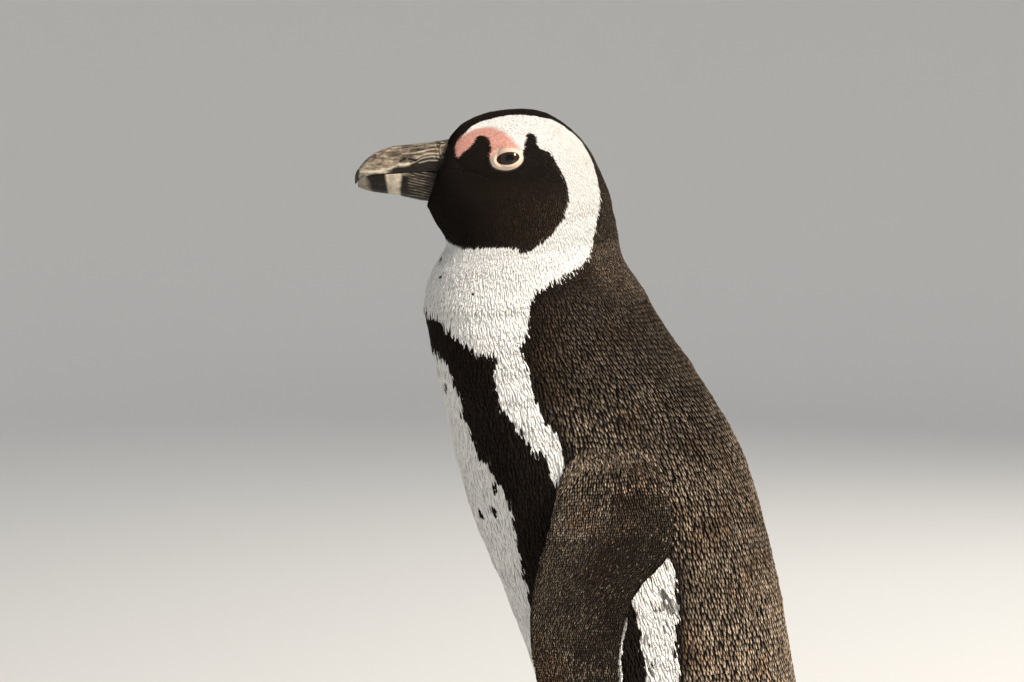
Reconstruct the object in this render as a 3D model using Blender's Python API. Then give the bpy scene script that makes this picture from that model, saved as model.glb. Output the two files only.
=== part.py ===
"""A standing African penguin as a still, life-size model.

Metres, +Z up. The bird faces -Y and its left side is at +X. The soles stand on z = 0 and the
origin is under the middle of the whole bird. The tables below are in millimetres.
"""

import math
from typing import NamedTuple

import bmesh
import bpy
import numpy as np
from mathutils import Matrix, Vector

MM = 0.001
GAP = 0.3 * MM  # clearance between neighbouring pieces

# Resolution of the lofts
BODY_SIDES = 32
BODY_RINGS_PER_STATION = 2.3
FLIPPER_SIDES = 14
FLIPPER_RINGS = 19
LEG_SIDES = 16
BILL_SIDES = 20
BILL_RINGS = 13

# Eye
EYE_AT = (22.2, -61.0, 494.0)
EYE_RADIUS = 8.6

# Foot
ANKLE = (32.0, 32.0)
SOLE_FLAT = 0.6  # how much of a toe's round underside is flattened against the floor
TOE_ROOT_RADIUS = 6.6
TOE_TIP_RADIUS = 3.3
WEB_THICKNESS = 2.0
WEB_HEIGHT = 2.4
CLAW_LENGTH = 11.0
CLAW_ROOT_RADIUS = 2.5
CLAW_TIP_RADIUS = 0.45


class Station(NamedTuple):
    """One cross-section of the body, in the plane through its front and back points."""

    front: tuple  # (y, z) on the throat, breast and belly line
    back: tuple  # (y, z) on the crown, nape and back line
    half_width: float
    bulge: float = 0.0  # how far the widest place lies towards the front line, from -1 to 1
    fullness: float = 2.0  # 2 is an ellipse, more is squarer


# From the feathers round the bill, over the head and down the trunk to the tail's tip
BODY = (
    Station((-107.5, 467.5), (-95, 505), 14.0),
    Station((-105, 462), (-86, 514.5), 20.0),
    Station((-102.5, 457), (-67, 521), 26.0),
    Station((-99.5, 452.5), (-42.5, 520.5), 29.5),
    Station((-97, 448.5), (-20.5, 505), 31.5, 0.05),
    Station((-97, 445), (-7, 481), 33.5, 0.05),
    Station((-100.5, 440), (-0.5, 458), 36.0, 0.0),
    Station((-105, 432), (3, 439), 40.0, 0.0),
    Station((-108.5, 421), (13.5, 423.5), 44.0, 0.0, 2.05),
    Station((-110, 407), (25, 405), 49.5, 0.0, 2.1),
    Station((-106.5, 386.5), (42, 380), 56.5, 0.0, 2.1),
    Station((-100, 358), (60, 352), 62.5, 0.0, 2.15),
    Station((-93, 326), (75.5, 320), 67.0, 0.0, 2.15),
    Station((-84, 294.5), (85, 287), 70.0, 0.0, 2.15),
    Station((-71, 263), (92, 255), 71.5, 0.0, 2.15),
    Station((-58, 231), (98, 223), 72.0, 0.0, 2.15),
    Station((-46, 196), (104.5, 187.5), 71.5, 0.0, 2.15),
    Station((-36, 162.5), (111, 154), 69.5, 0.05, 2.15),
    Station((-27.5, 130), (116, 121), 65.5, 0.05, 2.15),
    Station((-16, 98), (120.5, 93), 59.0, 0.1, 2.15),
    Station((5, 70), (125, 79), 49.0, 0.1, 2.1),
    Station((44, 51.5), (129.5, 68), 36.5, 0.0, 2.1),
    Station((86, 41.5), (134, 56), 27.0, -0.1, 2.2),
    Station((117, 27.5), (139.5, 38), 23.0, -0.2, 2.4),
    Station((138.5, 9.5), (145.5, 13), 15.0, -0.2, 2.6),
)

# Cuts between the body's pieces: (point, point) in the (y, z) plane, seen from the left side
HEAD_CUT = ((-97, 445.5), (-3, 467.5))
NECK_CUT = ((-110, 411), (17, 418.5))
TAIL_CUT = ((87, 41), (133, 60))


class Blade(NamedTuple):
    """One cross-section of a flipper, from its leading edge to its trailing edge."""

    lead: tuple
    trail: tuple
    thickness: float


FLIPPER = (
    Blade((50, -24, 356), (50, 14, 358), 14),
    Blade((63.5, -32, 330), (63, 19, 334), 17.5),
    Blade((67.5, -38.5, 303), (70.5, 29, 306), 17),
    Blade((69.5, -42.5, 288), (74, 29.5, 292), 15.5),
    Blade((70.5, -45.5, 278), (76.5, 26, 281), 14.5),
    Blade((71.5, -48, 267), (78.5, 15, 270), 13.5),
    Blade((72.3, -50, 256), (79.8, 6.5, 258.5), 12.5),
    Blade((73.2, -51, 245), (80.5, 3.3, 246), 11.3),
    Blade((74, -50.7, 232), (81.3, 1.4, 231), 10.3),
    Blade((75, -47, 211), (82, 0.9, 209), 9.3),
    Blade((76, -42, 188), (83, -0.8, 185), 8),
    Blade((77.5, -34, 163), (83.5, -5.5, 161), 6),
    Blade((79.5, -25, 144), (82.5, -11.5, 143), 4),
    Blade((80.5, -20.5, 138.5), (81.5, -15.5, 138), 2.2),
)


class Collar(NamedTuple):
    """One level cross-section of a leg."""

    centre: tuple
    half_width: float
    half_depth: float


LEG = (
    Collar((33, 30, 100), 20, 22),
    Collar((33, 30, 78), 22, 25),
    Collar((33, 31.5, 60), 21.5, 24.5),
    Collar((32.5, 33.5, 45), 18, 20),
    Collar((32, 35, 32), 12.5, 14),
    Collar((32, 35.5, 22), 9.2, 10.4),
    Collar((32, 35, 14.2), 8.6, 10),
)


class Toe(NamedTuple):
    """A toe, and how far it turns outwards from straight ahead."""

    name: str
    turn: float
    length: float


TOES = (Toe("inner", -22, 50), Toe("middle", 6, 60), Toe("outer", 32, 55))
HALLUX_START = (25.5, 37, 6.5)
HALLUX_END = (16.5, 32, 4.2)
HALLUX_CLAW_END = (11.5, 29, 2.2)


class Horn(NamedTuple):
    """One cross-section of the bill at a distance ahead of its base."""

    ahead: float
    culmen: float
    tomium: float
    gonys: float
    half_width: float


# The culmen is the top line, the tomium the cutting edge and the gonys the bottom line
BILL_ROOT_Y = -88.0
BILL = (
    Horn(0, 505.5, 487.5, 462, 13.5),
    Horn(9, 504.5, 487, 465.5, 13),
    Horn(18, 503, 486.5, 469, 12),
    Horn(28, 501.8, 486, 471.5, 10.3),
    Horn(38, 500.2, 485.2, 473.5, 8.8),
    Horn(46, 497.5, 484.8, 474.5, 7.4),
    Horn(52, 493.6, 484, 475.6, 5.8),
    Horn(56.5, 488.6, 481.4, 477.2, 3.9),
    Horn(59, 484, 478.6, 478, 2.0),
)
MANDIBLE_END = 57.2
BILL_BASE_PLANE = ((-107.5, 467.5), (-95, 505))


def spline(rows, at):
    """Values of the smooth curve through evenly numbered rows, at the row numbers in at."""
    rows = np.array(rows, float)
    at = np.clip(np.asarray(at, float), 0, len(rows) - 1)
    low = np.minimum(at.astype(int), len(rows) - 2)
    u = (at - low)[:, None]
    slope = np.gradient(rows, axis=0)
    p0, p1, m0, m1 = rows[low], rows[low + 1], slope[low], slope[low + 1]
    return (
        (2 * u**3 - 3 * u**2 + 1) * p0
        + (u**3 - 2 * u**2 + u) * m0
        + (3 * u**2 - 2 * u**3) * p1
        + (u**3 - u**2) * m1
    )


def rounded(angle, fullness):
    """Cosine and sine on a superellipse of that fullness."""
    c, s = math.cos(angle), math.sin(angle)
    return (
        math.copysign(abs(c) ** (2 / fullness), c),
        math.copysign(abs(s) ** (2 / fullness), s),
    )


def object_from(name, bm):
    """A closed mesh object from a bmesh, smooth-shaded, with its faces pointing out."""
    bmesh.ops.recalc_face_normals(bm, faces=bm.faces)
    mesh = bpy.data.meshes.new(name)
    bm.to_mesh(mesh)
    bm.free()
    mesh.shade_smooth()
    mesh.set_sharp_from_angle(angle=math.radians(50))
    made = bpy.data.objects.new(name, mesh)
    MODEL.objects.link(made)
    return made


def loft(name, rings):
    """A closed body through rings of points in millimetres, with flat ends."""
    bm = bmesh.new()
    loops = [[bm.verts.new(Vector(p) * MM) for p in ring] for ring in rings]
    for here, there in zip(loops, loops[1:]):
        for i, vert in enumerate(here):
            j = (i + 1) % len(here)
            bm.faces.new((vert, here[j], there[j], there[i]))
    bm.faces.new(loops[0])
    bm.faces.new(loops[-1])
    return object_from(name, bm)


def body_rings(grow=0.0):
    """The rings of the whole body from bill to tail, widened all round by grow."""
    rows = [
        (*s.front, *s.back, s.half_width + grow, s.bulge, s.fullness) for s in BODY
    ]
    count = round((len(BODY) - 1) * BODY_RINGS_PER_STATION) + 1
    rings = []
    for row in spline(rows, np.linspace(0, len(BODY) - 1, count)):
        front, back = Vector((0, row[0], row[1])), Vector((0, row[2], row[3]))
        middle = (front + back) / 2
        reach = (front - back) / 2
        reach += reach.normalized() * grow
        ring = []
        for i in range(BODY_SIDES):
            c, s = rounded(2 * math.pi * i / BODY_SIDES, row[6])
            along = c + row[5] * (1 - c * c)
            ring.append(middle + reach * along + Vector((row[4] * s, 0, 0)))
        rings.append(ring)
    return rings


def cut_plane(ends, side):
    """Point and normal in metres of a cut across the bird, moved half a gap to one side."""
    a, b = (Vector((0, y, z)) for y, z in ends)
    normal = Vector((1, 0, 0)).cross(b - a).normalized()
    return a * MM + normal * side * GAP / 2, normal


def keep_above(bm, ends):
    """Cuts away what lies below the line between two points that run from front to back."""
    point, normal = cut_plane(ends, 1)
    slice_off(bm, point, normal, clear_inner=True)


def keep_below(bm, ends):
    """Cuts away what lies above the line between two points that run from front to back."""
    point, normal = cut_plane(ends, -1)
    slice_off(bm, point, normal, clear_outer=True)


def slice_off(bm, point, normal, **clear):
    """Cuts a closed bmesh by a plane, clears one side and closes the cut with a flat face."""
    geometry = bm.verts[:] + bm.edges[:] + bm.faces[:]
    bmesh.ops.bisect_plane(bm, geom=geometry, plane_co=point, plane_no=normal, **clear)
    rim = [edge for edge in bm.edges if edge.is_boundary]
    bmesh.ops.edgeloop_fill(bm, edges=rim)


def body_piece(name, whole, above=None, below=None):
    """The stretch of the body above one cut and below another."""
    bm = bmesh.new()
    bm.from_mesh(whole.data)
    if above:
        keep_above(bm, above)
    if below:
        keep_below(bm, below)
    return object_from(name, bm)


def cutter(made):
    """Turns an object into a helper that the model leaves out."""
    MODEL.objects.unlink(made)
    CUTTERS.objects.link(made)
    made.hide_render = True
    made.display_type = "WIRE"
    return made


def boolean(target, other, operation):
    """Adds a live Boolean of that operation to target."""
    modifier = target.modifiers.new(operation.title(), "BOOLEAN")
    modifier.operation = operation
    modifier.object = other


def ball(name, centre, radius, segments, rings):
    """A sphere in millimetres."""
    bm = bmesh.new()
    place = Matrix.Translation(Vector(centre) * MM)
    bmesh.ops.create_uvsphere(
        bm, u_segments=segments, v_segments=rings, radius=radius * MM, matrix=place
    )
    return object_from(name, bm)


def block(name, low, high):
    """A box between two corners in millimetres."""
    low, high = Vector(low) * MM, Vector(high) * MM
    size = high - low
    bm = bmesh.new()
    place = Matrix.Translation((low + high) / 2) @ Matrix.Diagonal((*size, 1))
    bmesh.ops.create_cube(bm, size=1, matrix=place)
    return object_from(name, bm)


def tube(name, points, radii, resolution=2):
    """A closed mesh tube through points, with a radius at each, in millimetres."""
    curve = bpy.data.curves.new(name, "CURVE")
    curve.dimensions = "3D"
    curve.bevel_depth = MM
    curve.bevel_resolution = resolution
    curve.use_fill_caps = True
    line = curve.splines.new("POLY")
    line.points.add(len(points) - 1)
    for vert, point, radius in zip(line.points, points, radii):
        vert.co = (*(Vector(point) * MM), 1)
        vert.radius = radius
    made = bpy.data.objects.new(name, curve)
    return mesh_of(made)


def mesh_of(curve_object):
    """The closed mesh object of a curve object, which is removed."""
    name = curve_object.name
    curve_object.name = name + "_curve"
    MODEL.objects.link(curve_object)
    graph = bpy.context.evaluated_depsgraph_get()
    mesh = bpy.data.meshes.new_from_object(curve_object.evaluated_get(graph))
    bm = bmesh.new()
    bm.from_mesh(mesh)
    bmesh.ops.remove_doubles(bm, verts=bm.verts, dist=0.00001)
    bpy.data.meshes.remove(mesh)
    bpy.data.objects.remove(curve_object)
    return object_from(name, bm)


def joined(name, first, others):
    """One closed body from overlapping ones, by unions."""
    for other in others:
        boolean(first, other, "UNION")
    graph = bpy.context.evaluated_depsgraph_get()
    mesh = bpy.data.meshes.new_from_object(first.evaluated_get(graph))
    for spent in (first, *others):
        bpy.data.objects.remove(spent)
    bm = bmesh.new()
    bm.from_mesh(mesh)
    bpy.data.meshes.remove(mesh)
    return object_from(name, bm)


def make_body():
    """Head, neck, trunk and tail, parted by thin cuts from one smooth form."""
    whole = cutter(loft("whole_body", body_rings()))
    pieces = {
        "head": body_piece("head", whole, above=HEAD_CUT),
        "neck": body_piece("neck", whole, above=NECK_CUT, below=HEAD_CUT),
        "trunk": body_piece("trunk", whole, above=TAIL_CUT, below=NECK_CUT),
        "tail": body_piece("tail", whole, below=TAIL_CUT),
    }
    return pieces


def mirrored(name, source):
    """The same mesh on the bird's right side."""
    bm = bmesh.new()
    bm.from_mesh(source.data)
    bmesh.ops.transform(bm, matrix=Matrix.Scale(-1, 4, (1, 0, 0)), verts=bm.verts)
    made = object_from(name, bm)
    for modifier in source.modifiers:
        boolean(made, modifier.object, modifier.operation)
    return made


def make_eyes(head):
    """Both eyeballs, and the sockets that the head holds them in."""
    left = ball("eye_left", EYE_AT, EYE_RADIUS, 18, 10)
    mirrored("eye_right", left)
    for side in (1, -1):
        centre = (EYE_AT[0] * side, EYE_AT[1], EYE_AT[2])
        socket = ball("socket", centre, EYE_RADIUS + GAP / MM, 18, 10)
        boolean(head, cutter(socket), "DIFFERENCE")
    return left


def horn_ring(row, upper):
    """One ring of the upper or lower bill: flat along the cutting edge, arched away from it."""
    ahead, culmen, tomium, gonys, half_width = row
    height = (culmen - tomium) if upper else (gonys - tomium)
    start = tomium + math.copysign(GAP / MM / 2, height)
    ring = []
    half = BILL_SIDES // 2
    for i in range(half + 1):
        c, s = rounded(math.pi * i / half, 2.3)
        ring.append((half_width * c, BILL_ROOT_Y - ahead, start + (height * s)))
    for i in range(1, half):
        across = half_width * (2 * i / half - 1)
        ring.append((across, BILL_ROOT_Y - ahead, start))
    return ring


def make_bill():
    """Both halves of the bill, cut square to the face just ahead of the feathers."""
    point, normal = cut_plane(BILL_BASE_PLANE, 2)
    pieces = []
    for name, upper, end in (
        ("bill_upper", True, len(BILL) - 1),
        ("bill_lower", False, np.interp(MANDIBLE_END, [h.ahead for h in BILL], range(len(BILL)))),
    ):
        rows = spline(BILL, np.linspace(0, end, BILL_RINGS))
        whole = loft(name, [horn_ring(row, upper) for row in rows])
        bm = bmesh.new()
        bm.from_mesh(whole.data)
        bpy.data.objects.remove(whole)
        slice_off(bm, point, normal, clear_inner=True)
        pieces.append(object_from(name, bm))
    return pieces


def blade_ring(row, axis):
    """One ring of a flipper: thick behind the leading edge, thin at the trailing edge."""
    lead, trail, thickness = Vector(row[:3]), Vector(row[3:6]), row[6]
    middle, reach = (lead + trail) / 2, (lead - trail) / 2
    across = reach.cross(axis).normalized() * thickness / 2
    ring = []
    for i in range(FLIPPER_SIDES):
        angle = 2 * math.pi * i / FLIPPER_SIDES
        c, s = math.cos(angle), math.sin(angle)
        ring.append(middle + reach * c + across * s * (0.66 + 0.34 * c))
    return ring


def make_flippers(clear_of):
    """Both flippers, hanging at the sides and cut to meet the trunk at the shoulder."""
    rows = spline([(*b.lead, *b.trail, b.thickness) for b in FLIPPER],
                  np.linspace(0, len(FLIPPER) - 1, FLIPPER_RINGS))
    middles = (rows[:, :3] + rows[:, 3:6]) / 2
    axes = np.gradient(middles, axis=0)
    rings = [blade_ring(row, Vector(axis)) for row, axis in zip(rows, axes)]
    left = loft("flipper_left", rings)
    boolean(left, clear_of, "DIFFERENCE")
    mirrored("flipper_right", left)
    return left


def make_legs(clear_of):
    """Both feathered shanks, from the belly down to the ankles."""
    rows = spline([(*c.centre, c.half_width, c.half_depth) for c in LEG],
                  np.linspace(0, len(LEG) - 1, 2 * len(LEG) - 2))
    rings = []
    for x, y, z, half_width, half_depth in rows:
        turns = [2 * math.pi * i / LEG_SIDES for i in range(LEG_SIDES)]
        rings.append([(x + half_width * math.cos(a), y + half_depth * math.sin(a), z) for a in turns])
    left = loft("leg_left", rings)
    boolean(left, clear_of, "DIFFERENCE")
    mirrored("leg_right", left)
    return left


def toe_direction(toe):
    """The way a left toe points, in the floor plane."""
    turn = math.radians(toe.turn)
    return Vector((math.sin(turn), -math.cos(turn), 0))


def toe_height(radius):
    """Height of a toe's middle line so that its underside is flattened on the floor."""
    return radius - SOLE_FLAT


def make_toe(toe):
    """A left toe: a tapering tube with two low knuckles."""
    start, way = Vector((*ANKLE, 0)), toe_direction(toe)
    points, radii = [], []
    for share in np.linspace(0, 1, 7):
        radius = TOE_ROOT_RADIUS + (TOE_TIP_RADIUS - TOE_ROOT_RADIUS) * share**0.8
        radius += 0.45 * math.sin(share * math.pi * 3) ** 2 * (0.1 < share < 0.9)
        points.append(start + way * toe.length * share + Vector((0, 0, toe_height(radius))))
        radii.append(radius)
    return tube("toe_" + toe.name, points, radii)


def claw(name, start, way, length, root, tip, end_height):
    """A claw that curves down from the end of a toe."""
    points, radii = [], []
    for share in np.linspace(0, 1, 5):
        at = start + way * length * share
        at.z = start.z + (end_height - start.z) * share**1.6
        points.append(at)
        radii.append(root + (tip - root) * share**0.9)
    return tube(name, points, radii, 1)


def make_web():
    """The skin between the three front toes, hollowed along its front edge."""
    centre = Vector((*ANKLE, 0))
    tips = [centre + toe_direction(t) * t.length * 0.9 for t in TOES]
    outline = [centre + Vector((-7, 4, 0)), tips[0]]
    for here, there in zip(tips, tips[1:]):
        for share in (0.25, 0.5, 0.75):
            edge = here.lerp(there, share)
            hollow = 7.0 * math.sin(math.pi * share)
            outline.append(edge + (centre - edge).normalized() * hollow)
        outline.append(there)
    outline.append(centre + Vector((7, 4, 0)))
    curve = bpy.data.curves.new("web", "CURVE")
    curve.dimensions = "2D"
    curve.fill_mode = "BOTH"
    curve.extrude = WEB_THICKNESS / 2 * MM
    line = curve.splines.new("POLY")
    line.points.add(len(outline) - 1)
    for vert, point in zip(line.points, outline):
        vert.co = (point.x * MM, point.y * MM, 0, 1)
    line.use_cyclic_u = True
    made = mesh_of(bpy.data.objects.new("web", curve))
    made.data.transform(Matrix.Translation((0, 0, WEB_HEIGHT * MM)))
    return made


def make_feet():
    """Both webbed feet with their claws, standing flat on the floor."""
    ankle = tube("ankle", [(*ANKLE, 1.5), (32, 35, 8), (32, 35, 18)], [8.5, 9, 8.5], 3)
    heel = ball("heel", (32, 41, 5.4), 6.4, 14, 8)
    hallux = tube("hallux", [(30, 39, 8), HALLUX_START, HALLUX_END], [3.8, 3.4, 2.4])
    left = joined("foot_left", ankle, [heel, hallux, make_web(), *(make_toe(t) for t in TOES)])
    floor = block("floor_cutter", (-40, -80, -30), (140, 120, 0))
    top = block("ankle_cutter", (-40, -80, 14.2 - GAP / MM), (140, 120, 60))
    boolean(left, cutter(floor), "DIFFERENCE")
    boolean(left, cutter(top), "DIFFERENCE")
    graph = bpy.context.evaluated_depsgraph_get()
    mesh = bpy.data.meshes.new_from_object(left.evaluated_get(graph))
    left.modifiers.clear()
    left.data = mesh
    mirrored("foot_right", left)
    claws = []
    for toe in TOES:
        way = toe_direction(toe)
        start = Vector((*ANKLE, 0)) + way * (toe.length + GAP / MM)
        start.z = toe_height(TOE_TIP_RADIUS) + 0.2
        claws.append(claw(f"claw_{toe.name}_left", start, way, CLAW_LENGTH,
                          CLAW_ROOT_RADIUS, CLAW_TIP_RADIUS, 1.3))
    start, end, far = Vector(HALLUX_START), Vector(HALLUX_END), Vector(HALLUX_CLAW_END)
    way = (end - start).normalized()
    root = end + way * 1.2 * GAP / MM
    claws.append(claw("claw_hallux_left", root, way, (far - root).length, 1.8, 0.4, far.z))
    for made in claws:
        mirrored(made.name.replace("left", "right"), made)


def finish(name, colour, roughness):
    """A material of that colour and roughness."""
    made = bpy.data.materials.new(name)
    made.use_nodes = True
    shader = made.node_tree.nodes["Principled BSDF"]
    shader.inputs["Base Color"].default_value = (*colour, 1)
    shader.inputs["Roughness"].default_value = roughness
    shader.inputs["Metallic"].default_value = 0.0
    return made


def dress():
    """Gives every piece its material, by the start of its name."""
    black = finish("black_plumage", (0.035, 0.03, 0.027), 0.7)
    white = finish("white_plumage", (0.8, 0.78, 0.74), 0.8)
    horn = finish("bill_horn", (0.06, 0.055, 0.05), 0.35)
    eye = finish("eye", (0.03, 0.018, 0.012), 0.08)
    skin = finish("foot_skin", (0.045, 0.04, 0.04), 0.5)
    claws = finish("claw_horn", (0.03, 0.027, 0.025), 0.4)
    looks = {"head": black, "neck": white, "trunk": black, "tail": black, "flipper": black,
             "leg": white, "foot": skin, "claw": claws, "bill": horn, "eye": eye}
    for piece in MODEL.objects:
        piece.data.materials.clear()
        piece.data.materials.append(looks[piece.name.split("_")[0]])


def stand_on_origin():
    """Moves the bird so that the origin lies under the middle of its length."""
    low = min(v.co.y for v in bpy.data.objects["bill_upper"].data.vertices)
    high = max(v.co.y for v in bpy.data.objects["tail"].data.vertices)
    root = bpy.data.objects.new("penguin", None)
    MODEL.objects.link(root)
    root.location.y = -(low + high) / 2
    for piece in (*MODEL.objects, *CUTTERS.objects):
        if piece is not root:
            piece.parent = root


def main():
    """Builds the penguin."""
    body = make_body()
    grown = cutter(loft("trunk_clearance", body_rings(grow=GAP / MM)))
    make_eyes(body["head"])
    make_bill()
    make_flippers(grown)
    make_legs(grown)
    make_feet()
    dress()
    stand_on_origin()


for old in list(bpy.data.objects):
    bpy.data.objects.remove(old)
MODEL = bpy.data.collections.new("african_penguin")
CUTTERS = bpy.data.collections.new("cutters")
bpy.context.scene.collection.children.link(MODEL)
bpy.context.scene.collection.children.link(CUTTERS)
main()
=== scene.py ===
"""The looks of a standing, life-size African penguin: skin, feathers, bill, eyes and claws.

Tables of the bird's own measures are in millimetres, and every mesh is in metres. The bird faces
-Y and its left side is at +X. Side views are (y, z) pairs, and both sides of the bird share them.
"""

from __future__ import annotations

import itertools
import logging
import math
from dataclasses import dataclass, field
from enum import Enum
from typing import Callable, Iterable, Sequence

import bmesh
import bpy
import numpy as np
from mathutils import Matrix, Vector
from mathutils.bvhtree import BVHTree

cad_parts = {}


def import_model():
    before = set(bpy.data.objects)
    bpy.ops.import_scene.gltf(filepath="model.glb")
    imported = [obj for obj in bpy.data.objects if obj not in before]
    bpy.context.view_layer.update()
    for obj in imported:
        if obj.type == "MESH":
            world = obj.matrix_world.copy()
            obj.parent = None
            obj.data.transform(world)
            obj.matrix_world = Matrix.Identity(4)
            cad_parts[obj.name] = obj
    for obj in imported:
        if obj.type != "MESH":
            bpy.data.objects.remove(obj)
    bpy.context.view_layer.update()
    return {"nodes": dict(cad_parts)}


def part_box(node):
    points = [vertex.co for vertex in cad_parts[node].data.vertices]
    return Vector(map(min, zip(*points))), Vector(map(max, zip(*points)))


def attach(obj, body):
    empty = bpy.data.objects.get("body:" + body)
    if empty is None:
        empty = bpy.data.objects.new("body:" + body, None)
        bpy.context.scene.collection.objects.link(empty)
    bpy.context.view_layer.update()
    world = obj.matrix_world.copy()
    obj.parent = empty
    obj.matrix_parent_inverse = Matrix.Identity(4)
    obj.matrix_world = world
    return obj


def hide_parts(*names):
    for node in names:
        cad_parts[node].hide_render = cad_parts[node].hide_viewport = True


MM = 0.001
BODY = "root"
SEED = 11
UNWRAP = "OFBake"

# The numbers that mix the corners of ripple's grid.
GRID_PRIMES = (73856093, 19349663, 83492791)
MIX_FACTORS = (1103515245, 1274126177)
MIX_STEP = 12345
LOW_BITS = 0x7FFFFFFF

# Where the bird's parts lie, measured from its middle plane, its ankles' axis and the floor.
FACE_SIDE = 8 * MM
FACE_LOW = 466 * MM
LEG_SIDE = 32 * MM
SHANK_BACK = 34 * MM

Pair = tuple[float, float]
Points = Sequence[Pair]
Solids = dict[str, bpy.types.Object]
log = logging.getLogger("penguin")


# ---- Shader arithmetic -----------------------------------


class Wire:
    """One output of a shader node, on which arithmetic adds Math nodes."""

    def __init__(self, graph: "Graph", socket: bpy.types.NodeSocket) -> None:
        """Wraps a socket.

        Args:
            graph: The material graph that the socket belongs to.
            socket: The output socket.
        """
        self.graph = graph
        self.socket = socket

    def _math(self, operation: str, *values: "Wire | float") -> "Wire":
        """Adds a Math node.

        Args:
            operation: Blender's name of the operation.
            *values: The node's inputs, in order.

        Returns:
            The node's result.
        """
        return self.graph.add("Math", {"operation": operation}, dict(enumerate(values)))

    def __add__(self, other: "Wire | float") -> "Wire":
        """Self plus other."""
        return self._math("ADD", self, other)

    def __sub__(self, other: "Wire | float") -> "Wire":
        """Self minus other."""
        return self._math("SUBTRACT", self, other)

    def __rsub__(self, other: "Wire | float") -> "Wire":
        """Other minus self."""
        return self._math("SUBTRACT", other, self)

    def __mul__(self, other: "Wire | float") -> "Wire":
        """Self times other."""
        return self._math("MULTIPLY", self, other)

    def __pow__(self, power: float) -> "Wire":
        """Self to a power."""
        return self._math("POWER", self, power)

    def most(self, other: "Wire | float") -> "Wire":
        """The larger of two values."""
        return self._math("MAXIMUM", self, other)

    def rise(self, low: float, high: float) -> "Wire":
        """Goes smoothly from 0 at low to 1 at high.

        Args:
            low: The value that gives 0.
            high: The value that gives 1. It may be the smaller of the two.

        Returns:
            The smooth step.
        """
        if low > high:
            return 1 - self.rise(high, low)
        limits = {"Value": self, "From Min": low, "From Max": high}
        return self.graph.add("MapRange", {"interpolation_type": "SMOOTHSTEP"}, limits)


class Graph:
    """A material under construction."""

    def __init__(self, name: str) -> None:
        """Starts an empty material.

        Args:
            name: The material's name.
        """
        self.material = bpy.data.materials.new(name)
        self.material.use_nodes = True
        self.tree = self.material.node_tree
        self.tree.nodes.clear()

    def add(
        self,
        kind: str,
        settings: dict[str, object] | None = None,
        sockets: dict[int | str, object] | None = None,
        out: int | str = 0,
    ) -> Wire | None:
        """Adds a node of any kind.

        Args:
            kind: The node's type, without its ShaderNode prefix.
            settings: The node's properties.
            sockets: Values or wires for the node's inputs, by name or number.
            out: The output to return.

        Returns:
            The chosen output, or None where the node has none.
        """
        node = self.tree.nodes.new("ShaderNode" + kind)
        for key, value in (settings or {}).items():
            setattr(node, key, value)
        for key, value in (sockets or {}).items():
            if isinstance(value, Wire):
                self.tree.links.new(value.socket, node.inputs[key])
            else:
                node.inputs[key].default_value = value
        return Wire(self, node.outputs[out]) if node.outputs else None

    def attribute(self, name: str) -> Wire:
        """A number stored on the mesh."""
        return self.add("Attribute", {"attribute_name": name}, out="Fac")

    def place(self) -> Wire:
        """The point's place on its object, in metres."""
        return self.add("TexCoord", out="Object")

    def scaled(self, x: float, y: float, z: float) -> Wire:
        """The point's place, stretched along each axis."""
        settings = {"operation": "MULTIPLY"}
        return self.add("VectorMath", settings, {0: self.place(), 1: (x, y, z)})

    def axis(self, name: str) -> Wire:
        """The point's X, Y or Z, in metres."""
        return self.add("SeparateXYZ", sockets={0: self.place()}, out=name)

    def noise(self, size: float, detail: float = 3.0, at: Wire | None = None) -> Wire:
        """Noise from 0 to 1.

        Args:
            size: Width of its largest features, in metres.
            detail: How many finer layers it has.
            at: Where it is read, or None for the point's place.

        Returns:
            The noise.
        """
        sockets = {"Vector": at or self.place(), "Scale": 1 / size, "Detail": detail}
        return self.add("TexNoise", sockets=sockets)

    def blend(self, share: Wire | float, a: object, b: object) -> Wire:
        """Mixes two colours.

        Args:
            share: 0 for the first, 1 for the second.
            a: A colour or a wire.
            b: A colour or a wire.

        Returns:
            The mixed colour.
        """
        sockets = {0: share}
        for number, colour in ((6, a), (7, b)):
            sockets[number] = colour if isinstance(colour, Wire) else (*colour, 1)
        return self.add("Mix", {"data_type": "RGBA"}, sockets, out=2)

    def bump(self, height: Wire, depth: float) -> Wire:
        """A surface relief.

        Args:
            height: The relief, from 0 to 1.
            depth: Its height in metres.

        Returns:
            The normal.
        """
        return self.add("Bump", sockets={"Height": height, "Distance": depth, "Strength": 1.0})

    def finish(self, **sockets: object) -> bpy.types.Material:
        """Ends the material with a Principled shader.

        Args:
            **sockets: Its inputs, with underscores for spaces.

        Returns:
            The material.
        """
        named = {key.replace("_", " "): value for key, value in sockets.items()}
        shader = self.add("BsdfPrincipled", sockets=named)
        self.add("OutputMaterial", sockets={"Surface": shader})
        return self.material


# ---- Finishes --------------------------------------------

Colour = tuple[float, float, float]


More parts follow.
